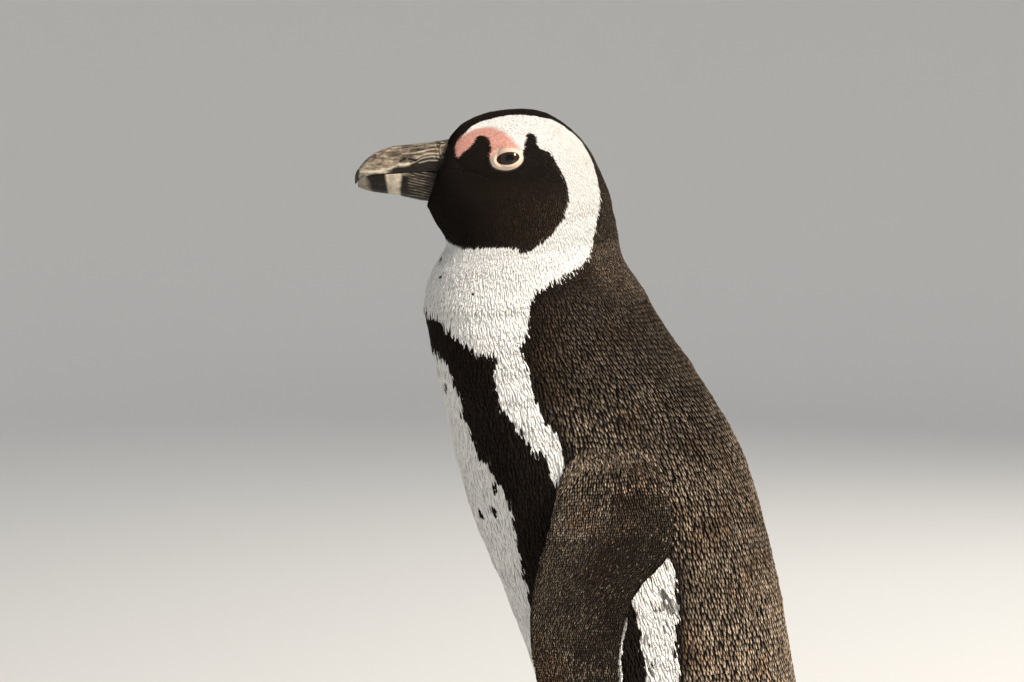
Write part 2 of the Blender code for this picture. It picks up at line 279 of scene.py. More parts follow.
@dataclass(frozen=True)
class PlumageFinish:
    """Feathers, black where the mesh's "ink" is 1 and white where it is 0."""

    name: str
    dark: Colour = (0.0085, 0.0058, 0.0043)
    # The pale tips' colour: partly their own wear, partly a painted highlight of light on them.
    wear_and_sheen: Colour = (0.71, 0.55, 0.40)
    rust: Colour = (0.48, 0.28, 0.16)
    white: Colour = (0.91, 0.895, 0.87)
    # Greyer towards the roots: painted shade between the white feathers.
    shaded_white_root: Colour = (0.73, 0.715, 0.695)
    pink: Colour = (0.52, 0.20, 0.155)
    pink_tip: Colour = (0.86, 0.60, 0.50)

    def build(self) -> bpy.types.Material:
        """Makes the material.

        Returns:
            The material.
        """
        g = Graph(self.name)
        tip, mid, fleck, glint = (g.attribute(name) for name in ("tip", "mid", "fleck", "glint"))
        streak = g.noise(0.0011, 2.0)
        reach = g.axis("Y").rise(-0.018, -0.048) * g.axis("Z").rise(0.345, 0.38)
        warm = reach.most(g.noise(0.028, 2.0).rise(0.5, 0.66) * 0.6)
        # Pale tips gather along each feather's raised middle: partly real pale tips, partly a
        # painted highlight along the ridge.
        pale_tip_and_ridge_highlight = tip.rise(0.4, 0.92) * (mid.rise(0.2, 0.95) * 0.85 + tip.rise(0.86, 1.0) * 0.15)
        wear_and_sheen = pale_tip_and_ridge_highlight * glint * (fleck * 1.1 + 0.3) * (streak * 0.9 + 0.6)
        black = g.blend(wear_and_sheen, self.dark, g.blend(warm, self.wear_and_sheen, self.rust))
        # Painted shade: the white feathers darken towards their roots.
        soft = tip.rise(0.15, 0.75) * (fleck * 0.3 + 0.7)
        pale = g.blend(soft, self.shaded_white_root, self.white)
        plain = g.blend(g.attribute("ink"), pale, black)
        flesh = g.blend(tip * fleck, self.pink, self.pink_tip)
        colour = g.blend(g.attribute("blush"), plain, flesh)
        relief = g.bump(g.noise(0.0006, 1.0), 0.00008)
        return g.finish(
            Base_Color=colour,
            Roughness=0.8 - glint * 0.3,
            Specular_IOR_Level=0.07,
            Normal=relief,
        )


@dataclass(frozen=True)
class SkinFinish:
    """The skin: dark or pale under the feathers, pink round the eye and scaly on the feet."""

    dark: Colour = (0.006, 0.005, 0.0045)
    pale: Colour = (0.66, 0.64, 0.61)
    pink: Colour = (0.58, 0.25, 0.20)
    pink_pale: Colour = (0.76, 0.48, 0.40)
    ring: Colour = (0.69, 0.545, 0.42)
    foot: Colour = (0.020, 0.018, 0.018)
    foot_pale: Colour = (0.17, 0.115, 0.105)
    horn: Colour = (0.018, 0.016, 0.014)

    def build(self) -> bpy.types.Material:
        """Makes the material.

        Returns:
            The material.
        """
        g = Graph("penguin_skin")
        fine = g.noise(0.0009, 4.0)
        broad = g.noise(0.006, 3.0)
        base = g.blend(g.attribute("ink"), self.pale, self.dark)
        flesh = g.blend(fine.rise(0.35, 0.7), self.pink, self.pink_pale)
        colour = g.blend(g.attribute("blush"), base, flesh)
        colour = g.blend(g.attribute("horny"), colour, self.horn)
        rim = g.blend(fine.rise(0.35, 0.8) * 0.45, self.ring, self.pink_pale)
        colour = g.blend(g.attribute("ring"), colour, rim)
        cells = {"Scale": 620.0, 0: g.place()}
        scales = g.add("TexVoronoi", {"feature": "DISTANCE_TO_EDGE"}, cells)
        sole = g.blend(broad.rise(0.54, 0.74) * 0.8, self.foot, self.foot_pale)
        sole = g.blend(scales.rise(0.0, 0.1) * 0.25 + 0.75, self.foot, sole)
        colour = g.blend(g.attribute("scaly"), colour, sole)
        wrinkles = fine * 0.5 + scales.rise(0.0, 0.3) * g.attribute("scaly") * 0.45
        return g.finish(
            Base_Color=colour,
            Roughness=0.62 - g.attribute("ring") * 0.22,
            Specular_IOR_Level=0.18,
            Normal=g.bump(wrinkles, 0.00035),
        )


@dataclass(frozen=True)
class HornFinish:
    """Worn horn, grey where the mesh's "pale" is 1, light at "band" and black elsewhere."""

    name: str
    black: Colour = (0.008, 0.0065, 0.0055)
    grey: Colour = (0.46, 0.365, 0.26)
    light: Colour = (0.78, 0.675, 0.52)

    def build(self) -> bpy.types.Material:
        """Makes the material.

        Returns:
            The material.
        """
        g = Graph(self.name)
        grain = g.noise(0.0011, 5.0, g.scaled(2.0, 0.4, 1.0))
        grit = g.noise(0.0005, 4.0).rise(0.3, 0.7)
        spots = g.noise(0.003, 4.0)
        scratch = g.noise(0.0018, 3.0, g.scaled(1.0, 0.14, 1.6)).rise(0.35, 0.68)
        # On the upper half's top this grey is partly a painted highlight.
        wear_and_sheen = g.attribute("pale") * (grain + 0.25) * (spots * 1.1 + 0.4) * (scratch * 1.3 + 0.35)
        wear_and_sheen = wear_and_sheen * (grit * 0.45 + 0.75)
        colour = g.blend(wear_and_sheen, self.black, self.grey)
        band = g.attribute("band") * (grain * 0.5 + 0.66) * (grit * 0.15 + 0.92)
        # On the upper half, "band" holds painted highlights along the ridges.
        colour = g.blend(band, colour, self.light)
        return g.finish(
            Base_Color=colour,
            Roughness=grain * 0.25 + 0.3,
            Specular_IOR_Level=0.2,
            Normal=g.bump(grain * 0.8 + grit * 0.2, 0.00022),
        )


@dataclass(frozen=True)
class EyeFinish:
    """A wet eye: black pupil, deep brown iris and a dark rim."""

    axis: Pair
    pupil: float = 2.3 * MM
    iris: float = 5.6 * MM
    brown: Colour = (0.042, 0.016, 0.008)
    black: Colour = (0.002, 0.002, 0.002)

    def build(self) -> bpy.types.Material:
        """Makes the material.

        Returns:
            The material.
        """
        g = Graph("penguin_eye")
        y, z = g.axis("Y") - self.axis[0], g.axis("Z") - self.axis[1]
        out = (y * y + z * z) ** 0.5
        threads = g.noise(0.0007, 3.0)
        brown = g.blend(threads * 0.6, self.brown, self.black)
        seen = out.rise(self.pupil, self.pupil + 0.3 * MM)
        seen = seen * out.rise(self.iris, self.iris - 1.2 * MM)
        return g.finish(
            Base_Color=g.blend(seen, self.black, brown),
            Roughness=threads * 0.02 + 0.05,
            Specular_IOR_Level=0.32,
        )


@dataclass(frozen=True)
class FloorFinish:
    """Plain pale paint."""

    colour: Colour = (0.80, 0.79, 0.765)

    def build(self) -> bpy.types.Material:
        """Makes the material.

        Returns:
            The material.
        """
        g = Graph("studio_floor")
        shade = g.blend(g.noise(0.5, 1.0) * 0.1, self.colour, (0.72, 0.71, 0.68))
        return g.finish(Base_Color=shade, Roughness=0.9)


# ---- Numbers and curves ----------------------------------


def ripple(points: np.ndarray, size: float, seed: int = 0) -> np.ndarray:
    """Smooth noise in space.

    Args:
        points: Places, one a row.
        size: Width of a feature, in the same unit.
        seed: Picks one of many patterns.

    Returns:
        A value from -1 to 1 for each point.
    """
    p = points / size + 31.7 * seed
    whole = np.floor(p).astype(np.int64)
    part = p - whole
    part = part * part * (3 - 2 * part)
    total = np.zeros(len(p))
    for corner in itertools.product((0, 1), repeat=3):
        x, y, z = ((whole + corner) * GRID_PRIMES).T
        mixed = ((x ^ y ^ z) * MIX_FACTORS[0] + MIX_STEP) & LOW_BITS
        mixed = (mixed ^ (mixed >> 13)) * MIX_FACTORS[1] & LOW_BITS
        share = np.where(corner, part, 1 - part).prod(1)
        total += share * (mixed / (LOW_BITS // 2) - 1)
    return total


def smooth(low: float, high: float, value: np.ndarray) -> np.ndarray:
    """Goes smoothly from 0 where value is low to 1 where it is high."""
    t = np.clip((value - low) / (high - low), 0, 1)
    return t * t * (3 - 2 * t)


def bell(*runs: tuple[np.ndarray, float, float]) -> np.ndarray:
    """A round hill in one direction or more.

    Args:
        *runs: For each direction a value, where it peaks and how far from there it falls.

    Returns:
        1 at the peak, fading to 0 away from it.
    """
    return np.exp(-sum(((value - peak) / reach) ** 2 for value, peak, reach in runs))


def between(pair: Pair, share: np.ndarray | float) -> np.ndarray | float:
    """The value at a share of the way from a pair's first number to its second."""
    return pair[0] + (pair[1] - pair[0]) * share


def unit(vectors: np.ndarray) -> np.ndarray:
    """The rows, each scaled to length 1."""
    return vectors / np.maximum(np.linalg.norm(vectors, axis=1, keepdims=True), 1e-12)


def course(points: np.ndarray, at: np.ndarray) -> np.ndarray:
    """Places on the smooth curve through evenly numbered points.

    Args:
        points: The points, one a row.
        at: Point numbers, which may lie between two points.

    Returns:
        A row for each number.
    """
    at = np.clip(np.asarray(at, float), 0, len(points) - 1)
    low = np.minimum(at.astype(int), len(points) - 2)
    u = (at - low)[:, None]
    slope = np.gradient(points, axis=0)
    return (
        (2 * u**3 - 3 * u**2 + 1) * points[low]
        + (u**3 - 2 * u**2 + u) * slope[low]
        + (3 * u**2 - 2 * u**3) * points[low + 1]
        + (u**3 - u**2) * slope[low + 1]
    )


def oval(y: float, z: float, half_width: float, half_height: float, tilt: float) -> Points:
    """The outline of an oval in the side view.

    Args:
        y: Its middle from front to back, in millimetres.
        z: Its middle's height.
        half_width: Half its length.
        half_height: Half its height.
        tilt: How far its back end is turned up, in degrees.

    Returns:
        Its points, in order.
    """
    lean = math.radians(tilt)
    turns = np.radians(np.arange(0, 360, 30))
    wide, high = half_width * np.cos(turns), half_height * np.sin(turns)
    across = y + wide * math.cos(lean) - high * math.sin(lean)
    up = z + wide * math.sin(lean) + high * math.cos(lean)
    return tuple(zip(across.tolist(), up.tolist()))


class Outline:
    """A closed shape in the side view."""

    def __init__(self, points: Points, rounds: int = 4) -> None:
        """Draws the shape.

        Args:
            points: Its corners in millimetres, in order.
            rounds: Steps of the smooth curve between two corners, or 1 for straight sides.
        """
        corners = np.array(points, float) * MM
        if rounds > 1:
            count = len(corners)
            looped = np.vstack([corners[-2:], corners, corners[:3]])
            corners = course(looped, 2 + np.arange(count * rounds) / rounds)
        self.corners = corners

    def distance(self, yz: np.ndarray) -> np.ndarray:
        """How far points are from the edge.

        Args:
            yz: Points in the side view, in metres.

        Returns:
            Metres, below zero inside the shape.
        """
        nearest = np.full(len(yz), np.inf)
        inside = np.zeros(len(yz), bool)
        for a, b in zip(self.corners, np.roll(self.corners, -1, axis=0)):
            run = b - a
            t = np.clip(((yz - a) @ run) / max(run @ run, 1e-18), 0, 1)
            nearest = np.minimum(nearest, np.linalg.norm(yz - a - t[:, None] * run, axis=1))
            crosses = (a[1] > yz[:, 1]) != (b[1] > yz[:, 1])
            rise = b[1] - a[1] if b[1] != a[1] else 1e-18
            inside ^= crosses & (yz[:, 0] < a[0] + (yz[:, 1] - a[1]) / rise * run[0])
        return np.where(inside, -nearest, nearest)


class Girths:
    """Lines across a form in the side view, from its front edge to its back edge.

    They follow each other along the lie of the feathers. A place is its number along them and
    its share across, from 1 at the front edge to -1 at the back.
    """

    fineness = 600  # steps in which lengths along the lines are summed

    def __init__(self, lines: Sequence[tuple[Pair, Pair]]) -> None:
        """Keeps the lines.

        Args:
            lines: Pairs of a front and a back point, in millimetres.
        """
        table = np.array(lines, float) * MM
        self.front, self.back = table[:, 0], table[:, 1]
        self.count = len(table)

    def at(self, along: np.ndarray, across: np.ndarray) -> np.ndarray:
        """Points in the side view.

        Args:
            along: Line numbers.
            across: Shares across.

        Returns:
            (y, z) rows in metres.
        """
        front, back = course(self.front, along), course(self.back, along)
        share = (np.asarray(across)[:, None] + 1) / 2
        return back + (front - back) * share

    def locate(self, yz: np.ndarray) -> tuple[np.ndarray, np.ndarray]:
        """Finds points among the lines.

        Args:
            yz: Points in the side view, in metres.

        Returns:
            Line numbers and shares across.
        """
        run = self.front - self.back
        side = np.stack([run[:, 1], -run[:, 0]], 1)
        side /= np.linalg.norm(side, axis=1, keepdims=True)
        past = np.einsum("nkd,kd->nk", yz[:, None] - self.back[None], side)
        if past[0].sum() == 0 or (self.front[-1] - self.front[0]) @ side[0] < 0:
            past = -past
        last = np.clip((past >= 0).cumprod(1).sum(1) - 1, 0, self.count - 2)
        rows = np.arange(len(yz))
        before, after = past[rows, last], past[rows, last + 1]
        along = last + np.clip(before / np.maximum(before - after, 1e-9), -0.5, 1.5)
        front, back = course(self.front, along), course(self.back, along)
        reach = front - back
        across = ((yz - back) * reach).sum(1) / (reach * reach).sum(1) * 2 - 1
        return along, across

    def lie(self, yz: np.ndarray) -> np.ndarray:
        """Which way the feathers point at points in the side view, as unit (y, z) rows."""
        along, across = self.locate(yz)
        return unit(self.at(along + 0.35, across) - self.at(along - 0.35, across))

    def rows(self, pitch: Callable, start: float, end: float) -> np.ndarray:
        """Line numbers a pitch apart.

        Args:
            pitch: Gives the distance between rows at line numbers, in metres.
            start: First line number.
            end: Last line number.

        Returns:
            The line numbers.
        """
        fine = np.linspace(start, end, self.fineness)
        middle = self.at(fine, np.zeros(self.fineness))
        strides = np.linalg.norm(np.diff(middle, axis=0), axis=1) / pitch(fine[1:])
        count = np.append(0, strides.cumsum())
        return np.interp(np.arange(0, count[-1]), count, fine)


# ---- The bird's lines and markings -----------------------

TRUNK_LINES = Girths(
    (
        ((-107, 467), (-94, 505)),
        ((-102, 457), (-66, 521)),
        ((-98, 450), (-31, 515)),
        ((-96, 445), (-6, 481)),
        ((-104, 432), (4, 439)),
        ((-109, 407), (26, 405)),
        ((-99, 358), (61, 352)),
        ((-83, 294), (86, 287)),
        ((-57, 231), (99, 223)),
        ((-35, 162), (112, 154)),
        ((-15, 98), (121, 93)),
        ((45, 51), (130, 68)),
        ((87, 41), (135, 56)),
        ((139, 9), (147, 13)),
    )
)
NECK_LINE = 3.7
RUMP_LINE = 11.75
LAST_LINE = 12.5

FLIPPER_LINES = Girths(
    (
        ((-25, 356), (15, 358)),
        ((-31, 330), (20, 334)),
        ((-38, 303), (30, 306)),
        ((-45, 278), (27, 281)),
        ((-49, 256), (7, 258)),
        ((-50, 232), (2, 231)),
        ((-46, 211), (2, 209)),
        ((-33, 163), (-5, 161)),
        ((-20, 138), (-15, 138)),
    )
)


# The markings' edges in the side view.
MASK: Points = (
    # over the lores and up to a blunt prong before the eye
    (-98, 503), (-88, 499), (-84, 501), (-80, 506), (-75, 508), (-71, 506), (-69, 500),
    # under the eye and up to a narrow prong behind it
    (-69, 495), (-61, 493), (-54, 495), (-52, 501), (-51, 507), (-49, 508), (-46, 506),
    # round the cheek, along the throat and back under the bill
    (-44, 500), (-38, 497), (-32, 487), (-28, 474), (-31, 461), (-42, 449), (-53, 443),
    (-60, 446), (-85, 445), (-98, 449), (-114, 450), (-125, 480),
)
MANTLE: Points = (
    # the cap's lower edge, from the bill to the nape
    (-99, 496), (-91, 497), (-87, 505), (-78, 513), (-62, 517), (-45, 517), (-31, 512),
    (-18, 499), (-11, 479), (-12, 460),
    # forwards under the white collar to the side of the breast
    (-18, 440), (-30, 432), (-46, 424), (-51, 416), (-50, 407), (-54, 393),
    # down to the flipper's root, under the flipper and along the flank to the tail
    (-50, 378), (-44, 359), (-33, 344), (-30, 330), (-27, 315), (-12, 300), (12, 291),
    (26, 281), (30, 264), (30, 222), (36, 178), (53, 130), (84, 80), (118, 42),
    # well outside the body, back to the bill
    (150, 0), (200, 60), (180, 300), (90, 420), (60, 520), (-40, 570), (-112, 545),
    (-112, 500),
)
BAND: Points = (
    # its upper edge, from the breast to the flipper
    (-125, 413), (-105, 411), (-95, 404), (-80, 392), (-72, 390), (-68, 384), (-69, 375),
    (-65, 361), (-59, 354), (-50, 342), (-41, 334), (-38, 323), (-29, 315), (-9, 286),
    # down the flank to the thigh
    (6, 258), (12, 225), (17, 180), (30, 125), (44, 80), (30, 62),
    # its lower edge, back up to the breast
    (13, 95), (-13, 138), (-32, 184), (-45, 234), (-55, 275), (-60, 303), (-68, 322),
    (-79, 338), (-87, 359), (-93, 378), (-100, 387), (-112, 392), (-130, 395),
)
BLUSH: Points = (
    # up from the bill's root and over the eye
    (-89, 494), (-91, 499), (-87, 506), (-78, 510), (-70, 511), (-62, 507), (-55, 500),
    # back along the lid and round the mask's prong
    (-57, 496), (-64, 494), (-70, 493), (-71, 496), (-71, 500), (-73, 505), (-78, 506),
    (-82, 500), (-86, 497),
)


class Region(Enum):
    """A part of the bird that its skin or coat covers."""

    HEAD = "head"
    NECK = "neck"
    TRUNK = "trunk"
    TAIL = "tail"
    FLIPPER = "flipper"
    LEG = "leg"
    FOOT = "foot"


REGIONS = list(Region)
COAT_DEPTH = {
    Region.HEAD: 0.6 * MM,
    Region.NECK: 1.0 * MM,
    Region.TRUNK: 1.2 * MM,
    Region.TAIL: 1.5 * MM,
    Region.FLIPPER: 0.65 * MM,
    Region.LEG: 1.0 * MM,
    Region.FOOT: 0.0,
}
EVENING = {  # how many rounds smooth the skin there
    Region.HEAD: 5,
    Region.NECK: 8,
    Region.TRUNK: 24,
    Region.TAIL: 10,
    Region.FLIPPER: 3,
    Region.LEG: 10,
    Region.FOOT: 1,
}
FLESH = {
    "head": Region.HEAD,
    "eye_left": Region.HEAD,
    "eye_right": Region.HEAD,
    "neck": Region.NECK,
    "trunk": Region.TRUNK,
    "tail": Region.TAIL,
    "flipper_left": Region.FLIPPER,
    "flipper_right": Region.FLIPPER,
    "leg_left": Region.LEG,
    "leg_right": Region.LEG,
    "foot_left": Region.FOOT,
    "foot_right": Region.FOOT,
}


def among(numbers: np.ndarray, *regions: Region) -> np.ndarray:
    """Which of an array of region numbers are one of these regions'."""
    return np.isin(numbers, [REGIONS.index(region) for region in regions])


@dataclass
class Markings:
    """The pattern of the plumage and the bare skin."""

    mask: Outline = field(default_factory=lambda: Outline(MASK))
    mantle: Outline = field(default_factory=lambda: Outline(MANTLE))
    band: Outline = field(default_factory=lambda: Outline(BAND))
    blush: Outline = field(default_factory=lambda: Outline(BLUSH))
    lid: Outline = field(default_factory=lambda: Outline(oval(-61.1, 494.2, 6.5, 3.6, 9)))
    ring: Outline = field(default_factory=lambda: Outline(oval(-61.6, 493.9, 9.1, 6.1, 7)))
    # the belly's and the breast's spots: the side, the place in the side view and the radius
    spots: Sequence[tuple[float, float, float, float]] = (
        (1, -96, 370, 2.4), (1, -97, 348, 1.7), (1, -95, 340, 2.0), (1, -88, 356, 1.3),
        (1, -69, 318, 2.3), (1, -77, 301, 2.5), (1, -70, 304, 2.7), (1, -98, 438, 1.3),
        (1, -97, 431, 1.0), (1, -80, 423, 1.1),
        (-1, -98, 379, 2.0), (-1, -92, 350, 2.4), (-1, -94, 334, 1.6), (-1, -76, 327, 2.2),
        (-1, -83, 311, 1.9), (-1, -62, 288, 2.1), (-1, -97, 427, 1.2), (-1, -55, 243, 1.9),
        (-1, -70, 295, 1.2),
    )
    smudges: Sequence[tuple[float, float, float]] = (
        (25, 257, 7.5), (11, 231, 6.0), (15, 205, 4.0),
    )
    beside: float = 100  # millimetres from the middle plane, well outside the trunk
    seats: list[tuple[np.ndarray, float]] = field(default_factory=list)

    def settle(self, surface: BVHTree) -> None:
        """Finds the spots' middles on a surface, from the side that each is on.

        Args:
            surface: A lookup over the skin.
        """
        for side, y, z, radius in self.spots:
            aim = Vector((side * self.beside, y, z)) * MM
            seat = surface.ray_cast(aim, Vector((-side, 0, 0)))[0] or surface.find_nearest(aim)[0]
            self.seats.append((np.array(seat), radius * MM))

    def smudged(self, points: np.ndarray) -> np.ndarray:
        """How many of the white feathers have dark tips.

        Args:
            points: Places on the bird.

        Returns:
            A share from 0 to 1 for each.
        """
        share = np.zeros(len(points))
        for y, z, reach in self.smudges:
            away = np.hypot(points[:, 1] - y * MM, (points[:, 2] - z * MM) * 0.7)
            share = np.maximum(share, bell((away, 0, reach * MM)))
        share *= smooth(-0.35, 0.25, ripple(points, 5 * MM, 24))
        return share * (np.abs(points[:, 0]) > 30 * MM)

    def ragged(self, points: np.ndarray, reach: float) -> np.ndarray:
        """How far the feathers' tips carry a border to and fro, up to about reach, in metres."""
        return reach * (0.7 * ripple(points, 2.6 * MM, 1) + 0.6 * ripple(points, 6.5 * MM, 2))

    def ink(self, points: np.ndarray, regions: np.ndarray, normals: np.ndarray) -> np.ndarray:
        """How black the plumage is.

        Args:
            points: Places on the bird.
            regions: The number of each one's region.
            normals: The skin's normals there.

        Returns:
            A value from 0, white, to 1, black.
        """
        yz = points[:, 1:]
        body = smooth(452 * MM, 425 * MM, points[:, 2])
        wave = self.ragged(points, 1.0) * (0.55 + 1.35 * body) * MM
        fine = self.ragged(points, 0.55 * MM)
        edge = np.minimum(self.mask.distance(yz) + fine, self.mantle.distance(yz) + wave)
        edge = np.minimum(edge, self.band.distance(yz) + wave)
        for seat, radius in self.seats:
            away = np.linalg.norm(points - seat, axis=1)
            edge = np.minimum(edge, away - radius + 0.5 * fine)
        ink = smooth(0.25 * MM, -0.25 * MM, edge)
        out = np.sign(points[:, 0]) * normals[:, 0] > -0.5
        along, across = FLIPPER_LINES.locate(yz)
        rim = (np.abs(across) > 0.86 + 0.1 * ripple(points, 5 * MM, 4)) | (along > 7.2)
        dark = out | (rim & (across > 0)) | (along < 2.2) | ((along < 4.4) & (across < -0.3))
        ink = np.where(among(regions, Region.FLIPPER), dark.astype(float), ink)
        ink[among(regions, Region.TAIL)] = 1
        thigh = np.abs(points[:, 0]) - LEG_SIDE + 4 * MM * ripple(points, 9 * MM, 5)
        fore = (yz[:, 0] < SHANK_BACK) & (thigh > 0)
        return np.where(among(regions, Region.LEG), fore.astype(float), ink)

    def bare(self, points: np.ndarray) -> np.ndarray:
        """Finds the pink skin over the eye.

        Args:
            points: Places on the bird.

        Returns:
            1 on that skin, 0 elsewhere.
        """
        edge = self.blush.distance(points[:, 1:]) + self.ragged(points, 0.45 * MM)
        face = (points[:, 2] > 470 * MM) & (np.abs(points[:, 0]) > 9 * MM)
        soft = smooth(1.5 * MM, 4 * MM, self.mask.distance(points[:, 1:]))
        crisp = smooth(0.3 * MM, -0.3 * MM, edge)
        return (crisp + (smooth(0.7 * MM, -1.6 * MM, edge) - crisp) * soft) * face


# ---- Meshes ----------------------------------------------


def choose_none() -> None:
    """Deselects everything, in object mode."""
    if bpy.context.mode != "OBJECT":
        bpy.ops.object.mode_set(mode="OBJECT")
    bpy.ops.object.select_all(action="DESELECT")


def choose(obj: bpy.types.Object) -> None:
    """Selects an object alone and makes it active.

    Args:
        obj: The object.
    """
    bpy.ops.object.select_all(action="DESELECT")
    obj.select_set(True)
    bpy.context.view_layer.objects.active = obj


def apply(obj: bpy.types.Object, kind: str, **settings: object) -> None:
    """Adds a modifier and applies it.

    Args:
        obj: The mesh object.
        kind: The modifier's type.
        **settings: Its properties.
    """
    choose(obj)
    modifier = obj.modifiers.new(kind.title(), kind)
    for key, value in settings.items():
        setattr(modifier, key, value)
    bpy.ops.object.modifier_apply(modifier=modifier.name)


def places(mesh: bpy.types.Mesh) -> np.ndarray:
    """Reads the vertices' places.

    Args:
        mesh: The mesh.

    Returns:
        One place a row.
    """
    found = np.empty(len(mesh.vertices) * 3, np.float32)
    mesh.vertices.foreach_get("co", found)
    return found.reshape(-1, 3).astype(float)


def set_places(mesh: bpy.types.Mesh, points: np.ndarray) -> None:
    """Moves the vertices to points, one a row."""
    mesh.vertices.foreach_set("co", points.astype(np.float32).ravel())
    mesh.update()


def normals_of(mesh: bpy.types.Mesh) -> np.ndarray:
    """Reads the vertices' normals.

    Args:
        mesh: The mesh.

    Returns:
        One normal a row.
    """
    found = np.empty(len(mesh.vertices) * 3, np.float32)
    mesh.vertex_normals.foreach_get("vector", found)
    return found.reshape(-1, 3).astype(float)


def store(mesh: bpy.types.Mesh, name: str, values: np.ndarray) -> None:
    """Keeps a number for each vertex.

    Args:
        mesh: The mesh.
        name: The attribute's name.
        values: One value a vertex.
    """
    layer = mesh.attributes.get(name) or mesh.attributes.new(name, "FLOAT", "POINT")
    layer.data.foreach_set("value", np.asarray(values, np.float32))


def even_out(mesh: bpy.types.Mesh, values: np.ndarray, rounds: int) -> np.ndarray:
    """Smooths numbers over a mesh.

    Args:
        mesh: The mesh.
        values: One row a vertex.
        rounds: How many times each is averaged with its neighbours.

    Returns:
        The smoothed rows.
    """
    edges = np.empty(len(mesh.edges) * 2, np.int32)
    mesh.edges.foreach_get("vertices", edges)
    a, b = edges.reshape(-1, 2).T
    count = np.bincount(np.concatenate([a, b]), minlength=len(values)).clip(1)
    columns = values.reshape(len(values), -1).copy()
    for _ in range(rounds):
        for column in columns.T:
            total = np.bincount(a, column[b], len(column)) + np.bincount(b, column[a], len(column))
            column[:] = 0.5 * column + 0.5 * total / count
    return columns.reshape(values.shape)


def unwrap(mesh: bpy.types.Mesh, flat: np.ndarray) -> None:
    """Gives the faces' corners their places on the unwrap, one a row."""
    layer = mesh.uv_layers.new(name=UNWRAP)
    layer.uv.foreach_set("vector", flat.astype(np.float32).ravel())


def placed(name: str, data: bpy.types.ID) -> bpy.types.Object:
    """Puts a new object into the scene.

    Args:
        name: The object's name.
        data: The mesh, lamp or camera that it shows.

    Returns:
        The object.
    """
    obj = bpy.data.objects.new(name, data)
    bpy.context.scene.collection.objects.link(obj)
    return obj


def dress(
    obj: bpy.types.Object, material: bpy.types.Material, slot: str, *nodes: str
) -> bpy.types.Object:
    """Finishes a piece and hands it to the frame.

    Args:
        obj: The piece.
        material: Its material.
        slot: Not used.
        *nodes: The solids that it replaces.

    Returns:
        The piece.
    """
    obj.data.materials.clear()
    obj.data.materials.append(material)
    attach(obj, BODY)
    if nodes:
        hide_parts(*nodes)
    log.info("%s: %d faces", obj.name, len(obj.data.polygons))
    return obj


def copy_of(solids: Solids, nodes: Iterable[str], name: str) -> bpy.types.Object:
    """One object of welded copies of solids.

    Args:
        solids: The frame's solids by name.
        nodes: Which to copy.
        name: The new object's name.

    Returns:
        The new object.
    """
    bm = bmesh.new()
    for node in nodes:
        bm.from_mesh(solids[node].data)
    bmesh.ops.remove_doubles(bm, verts=bm.verts, dist=0.01 * MM)
    bmesh.ops.recalc_face_normals(bm, faces=bm.faces)
    mesh = bpy.data.meshes.new(name)
    bm.to_mesh(mesh)
    bm.free()
    return placed(name, mesh)


# ---- Skin ------------------------------------------------


